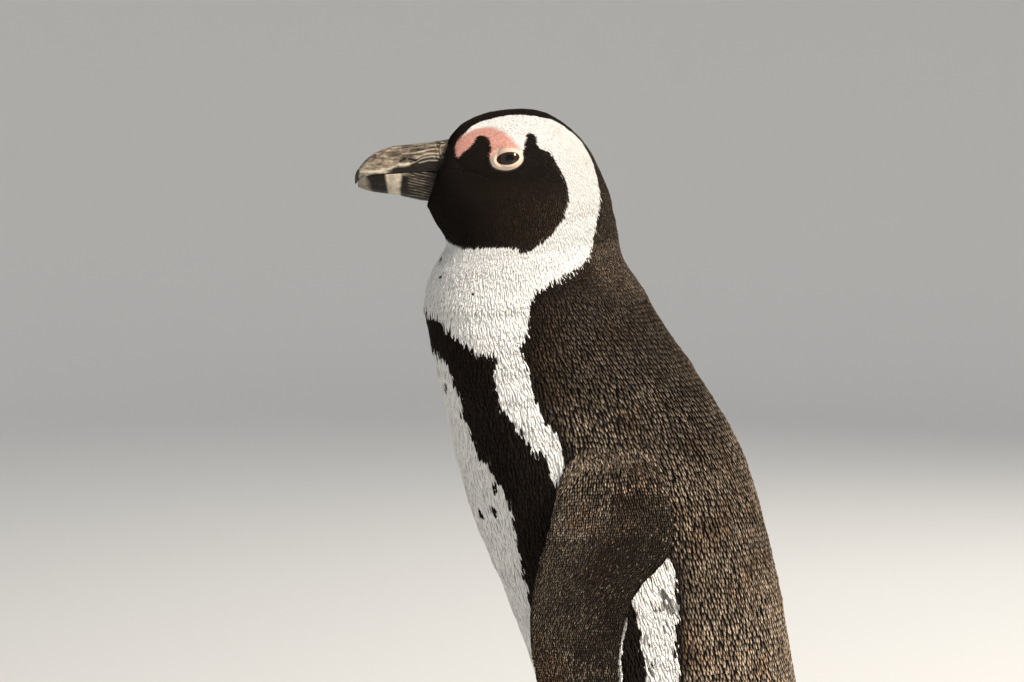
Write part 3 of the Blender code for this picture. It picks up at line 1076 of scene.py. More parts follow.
@dataclass
class Skin:
    """One skin over all the flesh, with lids, folds and scaly feet."""

    solids: Solids
    markings: Markings
    eye: Vector
    eye_radius: float = 8.6 * MM
    closing: float = 0.4 * MM
    voxel: float = 1.3 * MM
    share_kept: float = 0.26
    gape: Points = (
        (-104, 487), (-95, 487.4), (-87, 487.5), (-82.3, 487), (-76.8, 485.2), (-73, 483.6),
        (-76.8, 485), (-82.3, 486.7), (-85.5, 487.1), (-88, 489.6), (-89.2, 493.4),
        (-88.3, 489.4), (-87, 487.2), (-95, 487.1), (-104, 486.7),
    )

    def build(self) -> bpy.types.Object:
        """Makes the skin.

        Returns:
            The skin's object.
        """
        self.obj = copy_of(self.solids, FLESH, "skin")
        self._close()
        self._refine()
        self._swell()
        self._sink()
        self._face()
        self._feet()
        self._index()
        self.markings.settle(self.tree)
        self._paint()
        self.obj.data.shade_smooth()
        nodes = [node for node in FLESH if not node.startswith("eye")]
        return dress(self.obj, SkinFinish().build(), "black_plumage", *nodes)

    def _close(self) -> None:
        """Joins the solids into one surface and evens out their facets."""
        mesh = self.obj.data
        set_places(mesh, places(mesh) + normals_of(mesh) * self.closing)
        apply(self.obj, "REMESH", mode="VOXEL", voxel_size=self.voxel)
        apply(self.obj, "DECIMATE", ratio=self.share_kept, use_collapse_triangulate=True)
        mesh = self.obj.data
        points, where = places(mesh), self._regions(places(mesh))
        most = max(EVENING.values())
        rounds = np.array([EVENING[region] for region in REGIONS])[where] / most
        rounds = even_out(mesh, rounds, 6)
        for step in range(most):
            moved = even_out(mesh, points, 1)
            points = points + (moved - points) * np.clip(rounds * most - step, 0, 1)[:, None]
        line, across = FLIPPER_LINES.locate(points[:, 1:])
        seam = smooth(1.5, 0.5, line) * smooth(-0.6, -0.1, line) * smooth(1.5, 1.1, np.abs(across))
        seam *= np.abs(points[:, 0]) > 40 * MM
        for _ in range(60):
            points = points + (even_out(mesh, points, 1) - points) * seam[:, None]
        set_places(mesh, points)

    def _regions(self, points: np.ndarray) -> np.ndarray:
        """Finds the region whose solid is nearest.

        Args:
            points: Places on or near the solids.

        Returns:
            The number of each one's region.
        """
        best = np.full(len(points), np.inf)
        where = np.zeros(len(points), int)
        graph = bpy.context.evaluated_depsgraph_get()
        for node, region in FLESH.items():
            tree = BVHTree.FromObject(self.solids[node], graph)
            low, high = (np.array(corner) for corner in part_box(node))
            close = ((points > low - 6 * MM) & (points < high + 6 * MM)).all(1)
            hits = (tree.find_nearest(point) for point in points[close].tolist())
            far = np.full(len(points), np.inf)
            far[close] = [hit[3] for hit in hits]
            where = np.where(far < best, REGIONS.index(region), where)
            best = np.minimum(best, far)
        return where

    def _refine(self) -> None:
        """Gives the face and the feet finer faces than the rest."""
        choose(self.obj)
        bpy.ops.object.mode_set(mode="EDIT")
        for rounds in range(2):
            bpy.ops.mesh.select_all(action="DESELECT")
            bm = bmesh.from_edit_mesh(self.obj.data)
            for face in bm.faces:
                x, y, z = face.calc_center_median()
                near_eye = math.hypot(y - self.eye.y, z - self.eye.z) < (21, 14)[rounds] * MM
                face_on = near_eye and z > 468 * MM and abs(x) > FACE_SIDE
                foot = rounds == 0 and z < 15 * MM
                gape = rounds == 0 and y < -72 * MM and z > FACE_LOW
                face.select_set(face_on or foot or gape)
            bmesh.update_edit_mesh(self.obj.data)
            bpy.ops.mesh.subdivide(number_cuts=1, smoothness=0.0)
            bpy.ops.mesh.select_all(action="SELECT")
            bpy.ops.mesh.quads_convert_to_tris()
        bpy.ops.object.mode_set(mode="OBJECT")
        mesh = self.obj.data
        points = places(mesh)
        fine = (points[:, 2] > FACE_LOW) & (points[:, 1] < -40 * MM)
        moved = even_out(mesh, points, 3)
        set_places(mesh, np.where(fine[:, None], moved, points))

    def _swell(self) -> None:
        """Adds the soft folds of the shoulder and the shallow hollows of the flippers."""
        mesh = self.obj.data
        points, where = places(mesh), self._regions(places(mesh))
        waves = ripple(points * (0.6, 1, 0.7), 19 * MM, 21) + 0.5 * ripple(points, 9 * MM, 22)
        line, across = TRUNK_LINES.locate(points[:, 1:])
        shoulder = smooth(4.2, 5.5, line) * smooth(8.2, 6.6, line) * smooth(0.75, 0.2, across)
        body = 0.3 * smooth(4.5, 6, line) + 0.75 * shoulder
        wing, share = FLIPPER_LINES.locate(points[:, 1:])
        bones = 0.9 * bell((share, 0.45, 0.3)) - 0.7 * bell((share, -0.35, 0.35))
        flipper = 0.5 * waves + bones * smooth(0.8, 2.5, wing) * smooth(8.0, 6.0, wing)
        heights = np.select(
            [among(where, Region.FLIPPER), among(where, Region.TRUNK)],
            [flipper * (points[:, 0] * normals_of(mesh)[:, 0] > 0), waves * body],
            0.0,
        )
        heights = even_out(mesh, heights, 6) * MM
        set_places(mesh, points + normals_of(mesh) * heights[:, None])

    def _sink(self) -> None:
        """Moves the skin inside the solids by the depth of the coat."""
        mesh = self.obj.data
        points = places(mesh)
        self.where = self._regions(points)
        depths = np.array([COAT_DEPTH[region] for region in REGIONS])[self.where]
        bare = self.markings.bare(points)
        depths = depths * (1 - 0.5 * bare) + self.closing
        depths = even_out(mesh, depths, 4)
        set_places(mesh, points - normals_of(mesh) * depths[:, None])

    def _face(self) -> None:
        """Shapes the lids round both eyes, the hollow before them and the corners of the mouth."""
        mesh = self.obj.data
        points = places(mesh)
        yz = points[:, 1:]
        y, z = yz.T
        side = np.sign(points[:, 0])
        out = np.abs(points[:, 0])
        away = np.linalg.norm(yz - (self.eye.y, self.eye.z), axis=1)
        near = (away < 16 * MM) & (out > FACE_SIDE)
        opening = self.markings.lid.distance(yz)
        margin = self.markings.ring.distance(yz)
        dome = self.eye.x + np.sqrt(np.clip(self.eye_radius**2 - away**2, 0, None))
        face = np.where(near, even_out(mesh, out, 12), out)
        rim = np.maximum(face + 0.15 * MM, dome + 0.42 * MM)
        fold = 0.55 * MM * bell((opening, 1.1 * MM, 0.85 * MM))
        fold *= 0.25 + 0.75 * smooth(1.2 * MM, -0.6 * MM, margin)
        crease = -0.35 * MM * bell((margin, 0.2 * MM, 0.5 * MM))
        brow = 0.9 * MM * bell((z, 501.5 * MM, 2.6 * MM)) * bell((y, -62 * MM, 9 * MM))
        mixed = rim + (face - rim) * smooth(1.2 * MM, 4.5 * MM, opening)
        shaped = mixed + fold + crease + brow * smooth(0, 2 * MM, margin)
        shaped = np.maximum(shaped, dome + 0.3 * MM)
        sunk = dome - 0.9 * MM
        inside = sunk + (shaped - sunk) * smooth(-0.5 * MM, 0, opening)
        out = np.where(near, np.where(opening < 0, inside, shaped), out)
        lores = bell((y, -84 * MM, 7 * MM), (z, 489 * MM, 6 * MM))
        out = out - 1.3 * MM * lores * (z > 470 * MM) * (out > FACE_SIDE)
        out = out - 0.9 * MM * self.slit_at(points)
        points[:, 0] = np.where(np.abs(points[:, 0]) > 4 * MM, out * side, points[:, 0])
        set_places(mesh, points)
        self.margin, self.near_eye = margin, near

    def slit_at(self, points: np.ndarray) -> np.ndarray:
        """1 in the crease that runs back from the mouth's corner, 0 away from it."""
        away = Outline(self.gape, 1).distance(points[:, 1:]).clip(0)
        return bell((away, 0, 0.7 * MM)) * (np.abs(points[:, 0]) > FACE_SIDE)

    @staticmethod
    def past_bill(points: np.ndarray) -> np.ndarray:
        """Measures from the edge where the bill's horn ends.

        Args:
            points: Places on the head.

        Returns:
            How far each lies behind the edge, in metres.
        """
        y, z = points[:, 1], points[:, 2]
        levels = np.array((464, 478, 486.4, 491.4, 495.2, 499.6, 503.3, 508)) * MM
        edge = np.array((-112, -104.5, -98.5, -95.6, -95, -93.6, -94.6, -96)) * MM
        return y - np.interp(z, levels, edge)

    def _feet(self) -> None:
        """Raises scutes across the toes and keeps the soles flat on the floor."""
        mesh = self.obj.data
        points = places(mesh)
        normals = normals_of(mesh)
        foot = among(self.where, Region.FOOT)
        away = np.hypot(np.abs(points[:, 0]) - LEG_SIDE, points[:, 1] - 32.8 * MM)
        ridges = np.abs(np.sin(away / (2.3 * MM) * math.pi)) ** 0.6 - 0.6
        upper = foot & (normals[:, 2] > 0.1) & (away > 8 * MM)
        points += normals * (upper * ridges * 0.28 * MM)[:, None]
        points[:, 2] = np.maximum(points[:, 2], 0)
        set_places(mesh, points)

    def _paint(self) -> None:
        """Stores where the skin is inked, pink, ringed, horny or scaly."""
        mesh = self.obj.data
        points, normals = places(mesh), normals_of(mesh)
        ring = self.near_eye * smooth(0.35 * MM, -0.35 * MM, self.margin)
        ink = self.markings.ink(points, self.where, normals)
        foot = among(self.where, Region.FOOT).astype(float)
        beak = smooth(0.4 * MM, -0.4 * MM, self.past_bill(points)) * (points[:, 2] > FACE_LOW)
        store(mesh, "ink", np.maximum(ink, beak))
        store(mesh, "blush", self.markings.bare(points))
        store(mesh, "ring", ring)
        store(mesh, "scaly", even_out(mesh, foot, 1))
        store(mesh, "horny", np.maximum(beak, self.slit_at(points)))

    def _index(self) -> None:
        """Prepares the lookups that the feathers are planted with."""
        mesh = self.obj.data
        self.points, self.normals = places(mesh), normals_of(mesh)
        mesh.calc_loop_triangles()
        corners = np.empty(len(mesh.loop_triangles) * 3, np.int32)
        mesh.loop_triangles.foreach_get("vertices", corners)
        self.triangles = corners.reshape(-1, 3)
        self.tree = BVHTree.FromPolygons(self.points.tolist(), self.triangles.tolist())

    def nearest(self, points: np.ndarray) -> tuple[np.ndarray, np.ndarray, np.ndarray, np.ndarray]:
        """Where points touch the skin.

        Args:
            points: Places near the skin.

        Returns:
            The nearest places on it, their normals, their regions and how far they are.
        """
        hits = [self.tree.find_nearest(point) for point in points.tolist()]
        at = np.array([hit[0] for hit in hits])
        faces = self.triangles[[hit[2] for hit in hits]]
        away = np.array([hit[3] for hit in hits])
        return at, unit(self.normals[faces].mean(1)), self.where[faces[:, 0]], away

    def scatter(self, regions: Sequence[Region], gap: Callable, wanted: Callable) -> np.ndarray:
        """Picks triangles' inner points at random, none too near another.

        Args:
            regions: Where to pick.
            gap: Gives the least distance between points, for an array of points.
            wanted: Gives which of an array of points may be used.

        Returns:
            The points, one a row.
        """
        dice = np.random.default_rng(SEED + len(regions))
        faces = self.triangles[among(self.where[self.triangles[:, 0]], *regions)]
        a, b, c = (self.points[faces[:, i]] for i in range(3))
        area = np.linalg.norm(np.cross(b - a, c - a), axis=1) / 2
        least = float(np.min(gap(a)))
        count = int(area.sum() / least**2 * 3.2)
        pick = dice.choice(len(faces), count, p=area / area.sum())
        u, v = dice.random(count), dice.random(count)
        u, v = np.where(u + v > 1, 1 - u, u)[:, None], np.where(u + v > 1, 1 - v, v)[:, None]
        points = a[pick] + (b - a)[pick] * u + (c - a)[pick] * v
        points = points[wanted(points)]
        return points[thinned(points, gap(points))]


def thinned(points: np.ndarray, gaps: np.ndarray) -> list[int]:
    """Drops points that lie too near one that is kept.

    Args:
        points: The points, in order of preference.
        gaps: Each one's least distance to those before it.

    Returns:
        The numbers of the kept points.
    """
    cell = float(gaps.max())
    kept: dict[tuple[int, int, int], list[tuple[float, float, float]]] = {}
    chosen = []
    around = list(itertools.product((-1, 0, 1), repeat=3))
    keys = np.floor(points / cell).astype(int).tolist()
    for number, ((x, y, z), gap, (i, j, k)) in enumerate(zip(points.tolist(), gaps.tolist(), keys)):
        limit = gap * gap
        crowded = False
        for di, dj, dk in around:
            for px, py, pz in kept.get((i + di, j + dj, k + dk), ()):
                if (px - x) ** 2 + (py - y) ** 2 + (pz - z) ** 2 < limit:
                    crowded = True
                    break
            if crowded:
                break
        if not crowded:
            kept.setdefault((i, j, k), []).append((x, y, z))
            chosen.append(number)
    return chosen


# ---- Feathers --------------------------------------------


@dataclass(frozen=True)
class Vane:
    """A feather's shape in its own measures: share of length, of width and of thickness."""

    points: tuple[tuple[float, float, float], ...]
    faces: tuple[tuple[int, ...], ...]


ROUND_VANE = Vane(
    (
        (0, 0, 0),
        (0.4, -0.42, -0.2), (0.4, 0, 1), (0.4, 0.42, -0.2),
        (0.79, -0.5, -0.35), (0.79, 0, 0.9), (0.79, 0.5, -0.35),
        (1, -0.16, -0.1), (1, 0.16, -0.1),
    ),
    (
        (0, 1, 2), (0, 2, 3), (0, 3, 1), (1, 4, 5, 2), (2, 5, 6, 3), (1, 3, 6, 4),
        (4, 7, 5), (5, 7, 8), (5, 8, 6), (4, 6, 8, 7),
    ),
)
TUFT = Vane(
    ((0, 0, 0), (0.5, -0.5, -0.3), (0.5, 0, 1), (0.5, 0.5, -0.3), (1, 0, 0)),
    ((0, 1, 2), (0, 2, 3), (0, 3, 1), (4, 2, 1), (4, 3, 2), (4, 1, 3)),
)


# For each feather its length, width and thickness in metres and its lift in radians.
Sizes = tuple[np.ndarray, np.ndarray, np.ndarray, np.ndarray]


@dataclass
class Plumes:
    """Feathers to be planted: where, which way and how large."""

    at: np.ndarray
    normal: np.ndarray
    lie: np.ndarray
    spread: np.ndarray  # place on an unwrap of the skin's own shape
    length: np.ndarray
    width: np.ndarray
    thickness: np.ndarray
    lift: np.ndarray
    ink: np.ndarray
    glint: np.ndarray
    blush: np.ndarray

    def only(self, kept: np.ndarray) -> "Plumes":
        """The feathers at which kept is true."""
        return Plumes(**{name: values[kept] for name, values in vars(self).items()})


@dataclass
class Coat:
    """One piece of plumage."""

    name: str
    vane: Vane
    plumes: Plumes
    patch: float = 0.003  # a feather's length on the unwrap, whose side is 1

    def build(self, material: bpy.types.Material) -> bpy.types.Object:
        """Makes the piece.

        Args:
            material: The feathers' finish.

        Returns:
            Its object.
        """
        p, dice = self.plumes, np.random.default_rng(SEED)
        count = len(p.at)
        side = unit(np.cross(p.normal, p.lie))
        lie = unit(p.lie * np.cos(p.lift)[:, None] + p.normal * np.sin(p.lift)[:, None])
        top = unit(np.cross(lie, side))
        shape = np.array(self.vane.points)
        u, v, w = shape.T
        points = (
            (p.at - p.normal * p.thickness[:, None] * 0.4)[:, None]
            + lie[:, None] * (p.length[:, None] * u)[..., None]
            + side[:, None] * (p.width[:, None] * v)[..., None]
            + top[:, None] * (p.thickness[:, None] * w)[..., None]
        ).reshape(-1, 3)
        mesh = self._mesh(points, count)
        store(mesh, "tip", np.tile(u, count))
        store(mesh, "mid", np.tile(1 - 2 * np.abs(v), count))
        for name, values in (
            ("ink", p.ink),
            ("glint", p.glint),
            ("blush", p.blush),
            ("fleck", dice.random(count)),
        ):
            store(mesh, name, np.repeat(values, len(shape)))
        self._unwrap(mesh)
        mesh.validate()
        return dress(placed(self.name, mesh), material, "black_plumage")

    def _mesh(self, points: np.ndarray, count: int) -> bpy.types.Mesh:
        """Builds the mesh of all the vanes.

        Args:
            points: Every vertex.
            count: How many vanes there are.

        Returns:
            The mesh.
        """
        sizes = [len(face) for face in self.vane.faces]
        corners = np.concatenate(self.vane.faces)
        step = len(self.vane.points)
        loops = (corners[None] + step * np.arange(count)[:, None]).ravel()
        starts = np.concatenate([[0], np.cumsum(np.tile(sizes, count))[:-1]])
        mesh = bpy.data.meshes.new(self.name)
        mesh.vertices.add(len(points))
        mesh.vertices.foreach_set("co", points.astype(np.float32).ravel())
        mesh.loops.add(len(loops))
        mesh.loops.foreach_set("vertex_index", loops.astype(np.int32))
        mesh.polygons.add(len(starts))
        mesh.polygons.foreach_set("loop_start", starts.astype(np.int32))
        mesh.update(calc_edges=True)
        return mesh

    def _unwrap(self, mesh: bpy.types.Mesh) -> None:
        """Gives each vane a small patch at its root's place on the skin's own unwrap.

        Args:
            mesh: The mesh of all the vanes.
        """
        low, high = self.plumes.spread.min(0), self.plumes.spread.max(0)
        roots = 0.01 + 0.98 * (self.plumes.spread - low) / np.maximum(high - low, 1e-9)
        shape = np.array(self.vane.points)
        local = np.stack([shape[:, 1], shape[:, 0] - 0.5], 1) * self.patch
        corners = np.concatenate(self.vane.faces)
        unwrap(mesh, (roots[:, None] + local[corners][None]).clip(0, 1))


@dataclass
class Plumage:
    """Plants all the feathers on the skin."""

    skin: Skin
    solids: Solids
    markings: Markings
    row_pitch: Pair = (1.6 * MM, 2.9 * MM)  # on the neck and on the body
    side_pitch: Pair = (1.1 * MM, 1.8 * MM)
    wing_row_pitch: Pair = (2.8 * MM, 1.4 * MM)  # at the shoulder and down the flipper
    wing_side_pitch: Pair = (1.75 * MM, 1.05 * MM)
    ring_steps: int = 64
    ring_reach: float = 110 * MM  # well past the trunk's side

    def build(self) -> None:
        """Makes every piece of plumage."""
        self.material = PlumageFinish("plumage").build()
        body = self._body()
        line, across = TRUNK_LINES.locate(body.at[:, 1:])
        upper = line < 6.2
        for name, kept in (
            ("coat_shoulders", upper & (across < 0)),
            ("coat_breast", upper & (across >= 0)),
            ("coat_back_left", ~upper & (across < 0) & (body.at[:, 0] >= 0)),
            ("coat_back_right", ~upper & (across < 0) & (body.at[:, 0] < 0)),
            ("coat_belly_left", ~upper & (across >= 0) & (body.at[:, 0] >= 0)),
            ("coat_belly_right", ~upper & (across >= 0) & (body.at[:, 0] < 0)),
        ):
            Coat(name, ROUND_VANE, body.only(kept)).build(self.material)
        head = self._head()
        for name, kept in (
            ("coat_head_left", head.at[:, 0] >= 0),
            ("coat_head_right", head.at[:, 0] < 0),
        ):
            Coat(name, TUFT, head.only(kept)).build(self.material)
        for side, sign in (("left", 1), ("right", -1)):
            wing = self._flipper(sign)
            line, _ = FLIPPER_LINES.locate(wing.at[:, 1:])
            top = line < 2.5 + 0.4 * ripple(wing.at, 8 * MM, 17)
            Coat("coat_wing_top_" + side, ROUND_VANE, wing.only(top)).build(self.material)
            Coat("coat_flipper_" + side, TUFT, wing.only(~top)).build(self.material)
        Coat("coat_legs", TUFT, self._legs()).build(self.material)
        TailFan(self.skin, self.material).build()

    def _tree(self, *nodes: str) -> BVHTree:
        """Joins solids for ray casts.

        Args:
            *nodes: The solids' names.

        Returns:
            A lookup over their faces.
        """
        points, faces = [], []
        for node in nodes:
            mesh = self.solids[node].data
            start = len(points)
            points += [vert.co[:] for vert in mesh.vertices]
            faces += [[start + i for i in face.vertices] for face in mesh.polygons]
        return BVHTree.FromPolygons(points, faces)

    def _plumes(
        self, roots: np.ndarray, spread: np.ndarray, lines: Girths, size: Callable
    ) -> Plumes:
        """Feathers at roots, which lie along lines.

        Args:
            roots: Places near the skin.
            spread: Their places on the unwrap.
            lines: The lines whose lie they follow.
            size: Gives length, width, thickness and lift for arrays of roots and inks.

        Returns:
            The feathers.
        """
        at, normal, where, _ = self.skin.nearest(roots)
        flow = np.column_stack([np.clip(at[:, 0] / (20 * MM), -1, 1) * 0.02, lines.lie(at[:, 1:])])
        dice = np.random.default_rng(SEED + len(at))
        lie = unit(flow - normal * (flow * normal).sum(1, keepdims=True))
        ink = (self.markings.ink(at + lie * 1.2 * MM, where, normal) > 0.5).astype(float)
        loose = (0.065 + 0.045 * (1 - ink))[:, None]
        lie += loose * (dice.normal(size=flow.shape) + 0.8 * ripple(at, 9 * MM, 12)[:, None])
        lie = unit(lie - normal * (lie * normal).sum(1, keepdims=True))
        length, width, thickness, lift = size(at, ink)
        length = length * (1 + (0.05 + 0.1 * (1 - ink)) * dice.normal(size=len(at)).clip(-2, 2))
        lift = lift * (1 + 0.2 * dice.normal(size=len(at)).clip(-1.5, 2))
        glint = self._glint(at, where, dice.random(len(at)))
        chance = dice.random(len(at))
        smudged = (ink < 0.5) & (chance < self.markings.smudged(at))
        ink = np.where(smudged, 0.6 + 0.38 * dice.random(len(at)), ink)
        blush = self.markings.bare(at)
        return Plumes(at, normal, lie, spread, length, width, thickness, lift, ink, glint, blush)

    def _glint(self, at: np.ndarray, where: np.ndarray, chance: np.ndarray) -> np.ndarray:
        """How glossy the dark feathers are and how pale their tips: wear and painted highlights.

        Args:
            at: The feathers' roots.
            where: The number of each one's region.
            chance: A random number from 0 to 1 for each.

        Returns:
            A value from 0 to 1 for each.
        """
        y, z = at[:, 1:].T
        along, across = TRUNK_LINES.locate(at[:, 1:])
        inner = smooth(0.5 * MM, -11 * MM, self.markings.mantle.distance(at[:, 1:]))
        cheek = smooth(-90 * MM, -40 * MM, y) * smooth(490 * MM, 462 * MM, z)
        face = 0.02 + 0.2 * cheek * smooth(425 * MM, 440 * MM, z)
        back = face + (0.14 + 0.8 * smooth(5.0, 8.8, along)) * smooth(3.6, 5.0, along) * inner
        # A painted highlight on the shoulder's bulge.
        back += 0.4 * bell((y, -18 * MM, 15 * MM), (z, 350 * MM, 14 * MM)) * inner
        # Painted highlights over the nape and where it bends into the back.
        nape = 0.26 * smooth(-0.35, -0.8, across)
        nape = nape * smooth(1.5, 3.0, along) * smooth(5.4, 4.2, along)
        bend = bell((y, -5 * MM, 10 * MM), (z, 441 * MM, 9 * MM))
        back = np.maximum(back, nape + 0.35 * bend)
        glint = back * (1.0 + 0.3 * ripple(at, 24 * MM, 8) + 0.25 * ripple(at, 7 * MM, 13))
        glint *= (0.72 + 0.56 * chance) * (1 - 0.85 * smooth(11.0, 11.8, along))
        line, share = FLIPPER_LINES.locate(at[:, 1:])
        wear_and_sheen = smooth(0.0, 0.7, ripple(at, 11 * MM, 14)) * (chance > 0.5)
        # The flipper's leading part is paler: a painted sheen where it faces the light.
        wing = 0.25 + 0.3 * smooth(-0.1, 0.75, share) + 0.14 * ripple(at, 14 * MM, 15)
        wing += 0.5 * wear_and_sheen + 0.4 * (chance > 0.94)
        wing *= 1 - 0.5 * bell((share, -0.3, 0.55), (line, 2.2, 1.4))
        wing += (0.36 - wing) * smooth(1.4, 0.1, line + 0.5 * ripple(at, 12 * MM, 16))
        wing *= 0.6 + 0.8 * chance
        return np.where(among(where, Region.FLIPPER), wing, glint).clip(0, 1)

    def _half_ring(self, tree: BVHTree, line: float) -> np.ndarray:
        """Points round the left half of the trunk, from the middle of the back to the front.

        Args:
            tree: A lookup over the solids that carry the coat.
            line: The number of the line that they follow.

        Returns:
            The points, one a row.
        """
        ends = TRUNK_LINES.at(np.full(2, line), np.array([1.0, 0.0]))
        centre = Vector((0, *ends[1]))
        reach = float(np.linalg.norm(ends[0] - ends[1])) + 15 * MM
        ahead = Vector((0, *(ends[0] - ends[1]))).normalized()
        ring = []
        for turn in np.linspace(math.pi, 0, self.ring_steps):
            out = Vector((math.sin(turn) * self.ring_reach, 0, 0))
            start = ahead * math.cos(turn) * reach + out
            hit = tree.ray_cast(centre + start, -start)[0]
            if hit is not None:
                ring.append(hit)
        return np.array(ring)

    def _body(self) -> Plumes:
        """Sets feathers in staggered rows from the neck to the tail.

        Returns:
            The feathers.
        """
        tree = self._tree("head", "neck", "trunk", "tail")

        def grown(line: np.ndarray) -> np.ndarray:
            """How far the feathers have grown from the neck's to the body's, 0 to 1."""
            return smooth(NECK_LINE, 6.0, line)

        def pitch(line: np.ndarray) -> np.ndarray:
            """The distance between full rows at line numbers, in metres."""
            return between(self.row_pitch, grown(line))

        rows, spread, extra, run_down = [], [], [], 0.0
        lines = TRUNK_LINES.rows(lambda line: pitch(line) / 2, NECK_LINE, LAST_LINE)
        for number, line in enumerate(lines):
            ring = self._half_ring(tree, line)
            run = np.append(0, np.linalg.norm(np.diff(ring, axis=0), axis=1).cumsum())
            step = between(self.side_pitch, float(grown(line)))
            shift = number // 2 % 2 / 2 + number % 2 / 4
            at = np.arange(shift * step, run[-1], step)
            half = np.stack([np.interp(at, run, column) for column in ring.T], 1)
            other = slice(int(shift == 0), None)
            rows += [half, half[other] * (-1, 1, 1)]
            for side, steps in ((1, at), (-1, at[other])):
                spread.append(np.column_stack([side * steps, np.full(len(steps), run_down)]))
            extra.append(np.full(len(half) + len(half[other]), number % 2 == 1))
            run_down += float(pitch(line)) / 2
        roots, spread, extra = np.vstack(rows), np.vstack(spread), np.concatenate(extra)
        warp = ripple(roots, 12 * MM, 18)[:, None]
        roots[:, 1:] += TRUNK_LINES.lie(roots[:, 1:]) * 1.3 * MM * warp
        roots += np.random.default_rng(SEED).normal(size=roots.shape) * 0.27 * MM
        _, _, where, away = self.skin.nearest(roots)
        limbs = among(where, Region.FLIPPER, Region.LEG, Region.FOOT)
        kept = (away < 3.5 * MM) & ~(limbs & (away > 1.8 * MM))
        along, across = TRUNK_LINES.locate(roots[:, 1:])
        kept &= (along < RUMP_LINE) | (across > 0.9 * smooth(RUMP_LINE, LAST_LINE, along) - 0.45)

        def size(at: np.ndarray, ink: np.ndarray) -> Sizes:
            """The length, width, thickness and lift of feathers with these roots and inks."""
            line, across = TRUNK_LINES.locate(at[:, 1:])
            big, tail = grown(line), smooth(10.9, RUMP_LINE, line)
            length = (4.4 + 2.3 * big + 1.0 * (1 - ink) + 4 * tail) * MM
            width = (1.25 + 0.6 * big) * (0.66 + 0.34 * ink) * MM + 0.5 * tail * MM
            thickness = (0.07 + 0.07 * ink + 0.18 * ink * big) * MM
            raised = 4.0 * ink * big * (1 - 0.8 * smooth(0.55, 0.9, across))
            return length, width, thickness, np.radians(2.6 + raised - 1.5 * tail)

        plumes = self._plumes(roots[kept], spread[kept], TRUNK_LINES, size)
        return plumes.only((plumes.ink < 1) | ~extra[kept])

    def _head(self) -> Plumes:
        """Sets short tufts over the head and the top of the neck.

        Returns:
            The tufts.
        """
        eye, ring = self.skin.eye, self.markings.ring

        def gap(points: np.ndarray) -> np.ndarray:
            """The least distance between tufts, in metres."""
            yz = points[:, 1:]
            along, _ = TRUNK_LINES.locate(yz)
            near = np.hypot(points[:, 1] - eye.y, points[:, 2] - eye.z)
            gaps = (0.66 + 0.26 * smooth(1.0, 3.8, along)) * MM
            white = np.minimum(self.markings.mask.distance(yz), self.markings.mantle.distance(yz))
            gaps *= 1 - 0.14 * smooth(-0.6 * MM, 0.4 * MM, white)
            return gaps * (0.74 + 0.26 * smooth(9 * MM, 22 * MM, near))

        def wanted(points: np.ndarray) -> np.ndarray:
            """Whether tufts grow at points: not on the bill, the eye, the gape or the body."""
            along, across = TRUNK_LINES.locate(points[:, 1:])
            edge = 0.7 * MM * ripple(points, 2.5 * MM, 9) - 1.0 * MM
            feathered = (self.skin.past_bill(points) > edge) | (points[:, 2] < FACE_LOW)
            side = np.abs(points[:, 0]) > FACE_SIDE
            clear = (ring.distance(points[:, 1:]) > 0) | ~side
            closed = ~side | (self.skin.slit_at(points) < 0.8)
            reach = NECK_LINE + 0.25 + 0.9 * smooth(-0.1, -0.6, across)
            reach += 0.15 * ripple(points, 6 * MM, 23)
            return (along < reach) & feathered & clear & closed

        roots = self.skin.scatter((Region.HEAD, Region.NECK), gap, wanted)
        along, across = TRUNK_LINES.locate(roots[:, 1:])
        turn = np.arccos(np.clip(across, -1, 1)) * np.sign(roots[:, 0])
        spread = np.column_stack([turn, along])

        def size(at: np.ndarray, ink: np.ndarray) -> Sizes:
            """The length, width, thickness and lift of tufts with these roots and inks."""
            gaps, bare = gap(at), self.markings.bare(at)
            length = gaps * (3.2 + 1.4 * (1 - ink)) * (1 - 0.5 * bare)
            width = gaps * (1.25 - 0.08 * (1 - ink)) * (1 - 0.4 * bare)
            thickness = (0.15 - 0.06 * (1 - ink)) * MM
            return length, width, thickness, np.radians(8.5 - 4.5 * (1 - ink) * (1 - bare))

        plumes = self._plumes(roots, spread, TRUNK_LINES, size)
        from_eye = plumes.at - np.column_stack([plumes.at[:, 0], np.tile(eye.yz, (len(roots), 1))])
        push = 2.2 * np.exp(-ring.distance(plumes.at[:, 1:]).clip(0) / (2.2 * MM))
        push *= np.abs(plumes.at[:, 0]) > FACE_SIDE
        lie = plumes.lie + unit(from_eye) * push[:, None]
        front = smooth(3 * MM, 0, self.skin.past_bill(plumes.at)) * (plumes.at[:, 2] > FACE_LOW)
        lie += unit(plumes.at * (1, 0, 1) - (0, 0, 489 * MM)) * 0.7 * front[:, None]
        plumes.lie = unit(lie - plumes.normal * (lie * plumes.normal).sum(1, keepdims=True))
        return plumes

    def _flipper(self, sign: int) -> Plumes:
        """Scale-like feathers in rows over both faces of a flipper, finer towards its tip.

        Args:
            sign: 1 for the left flipper, -1 for the right.

        Returns:
            The feathers.
        """
        tree = self._tree("flipper_left")

        def graded(line: np.ndarray, pair: Pair) -> np.ndarray:
            """A size at line numbers, from the shoulder's to the rest of the flipper's."""
            return between(pair, smooth(0.0, 2.6, line))

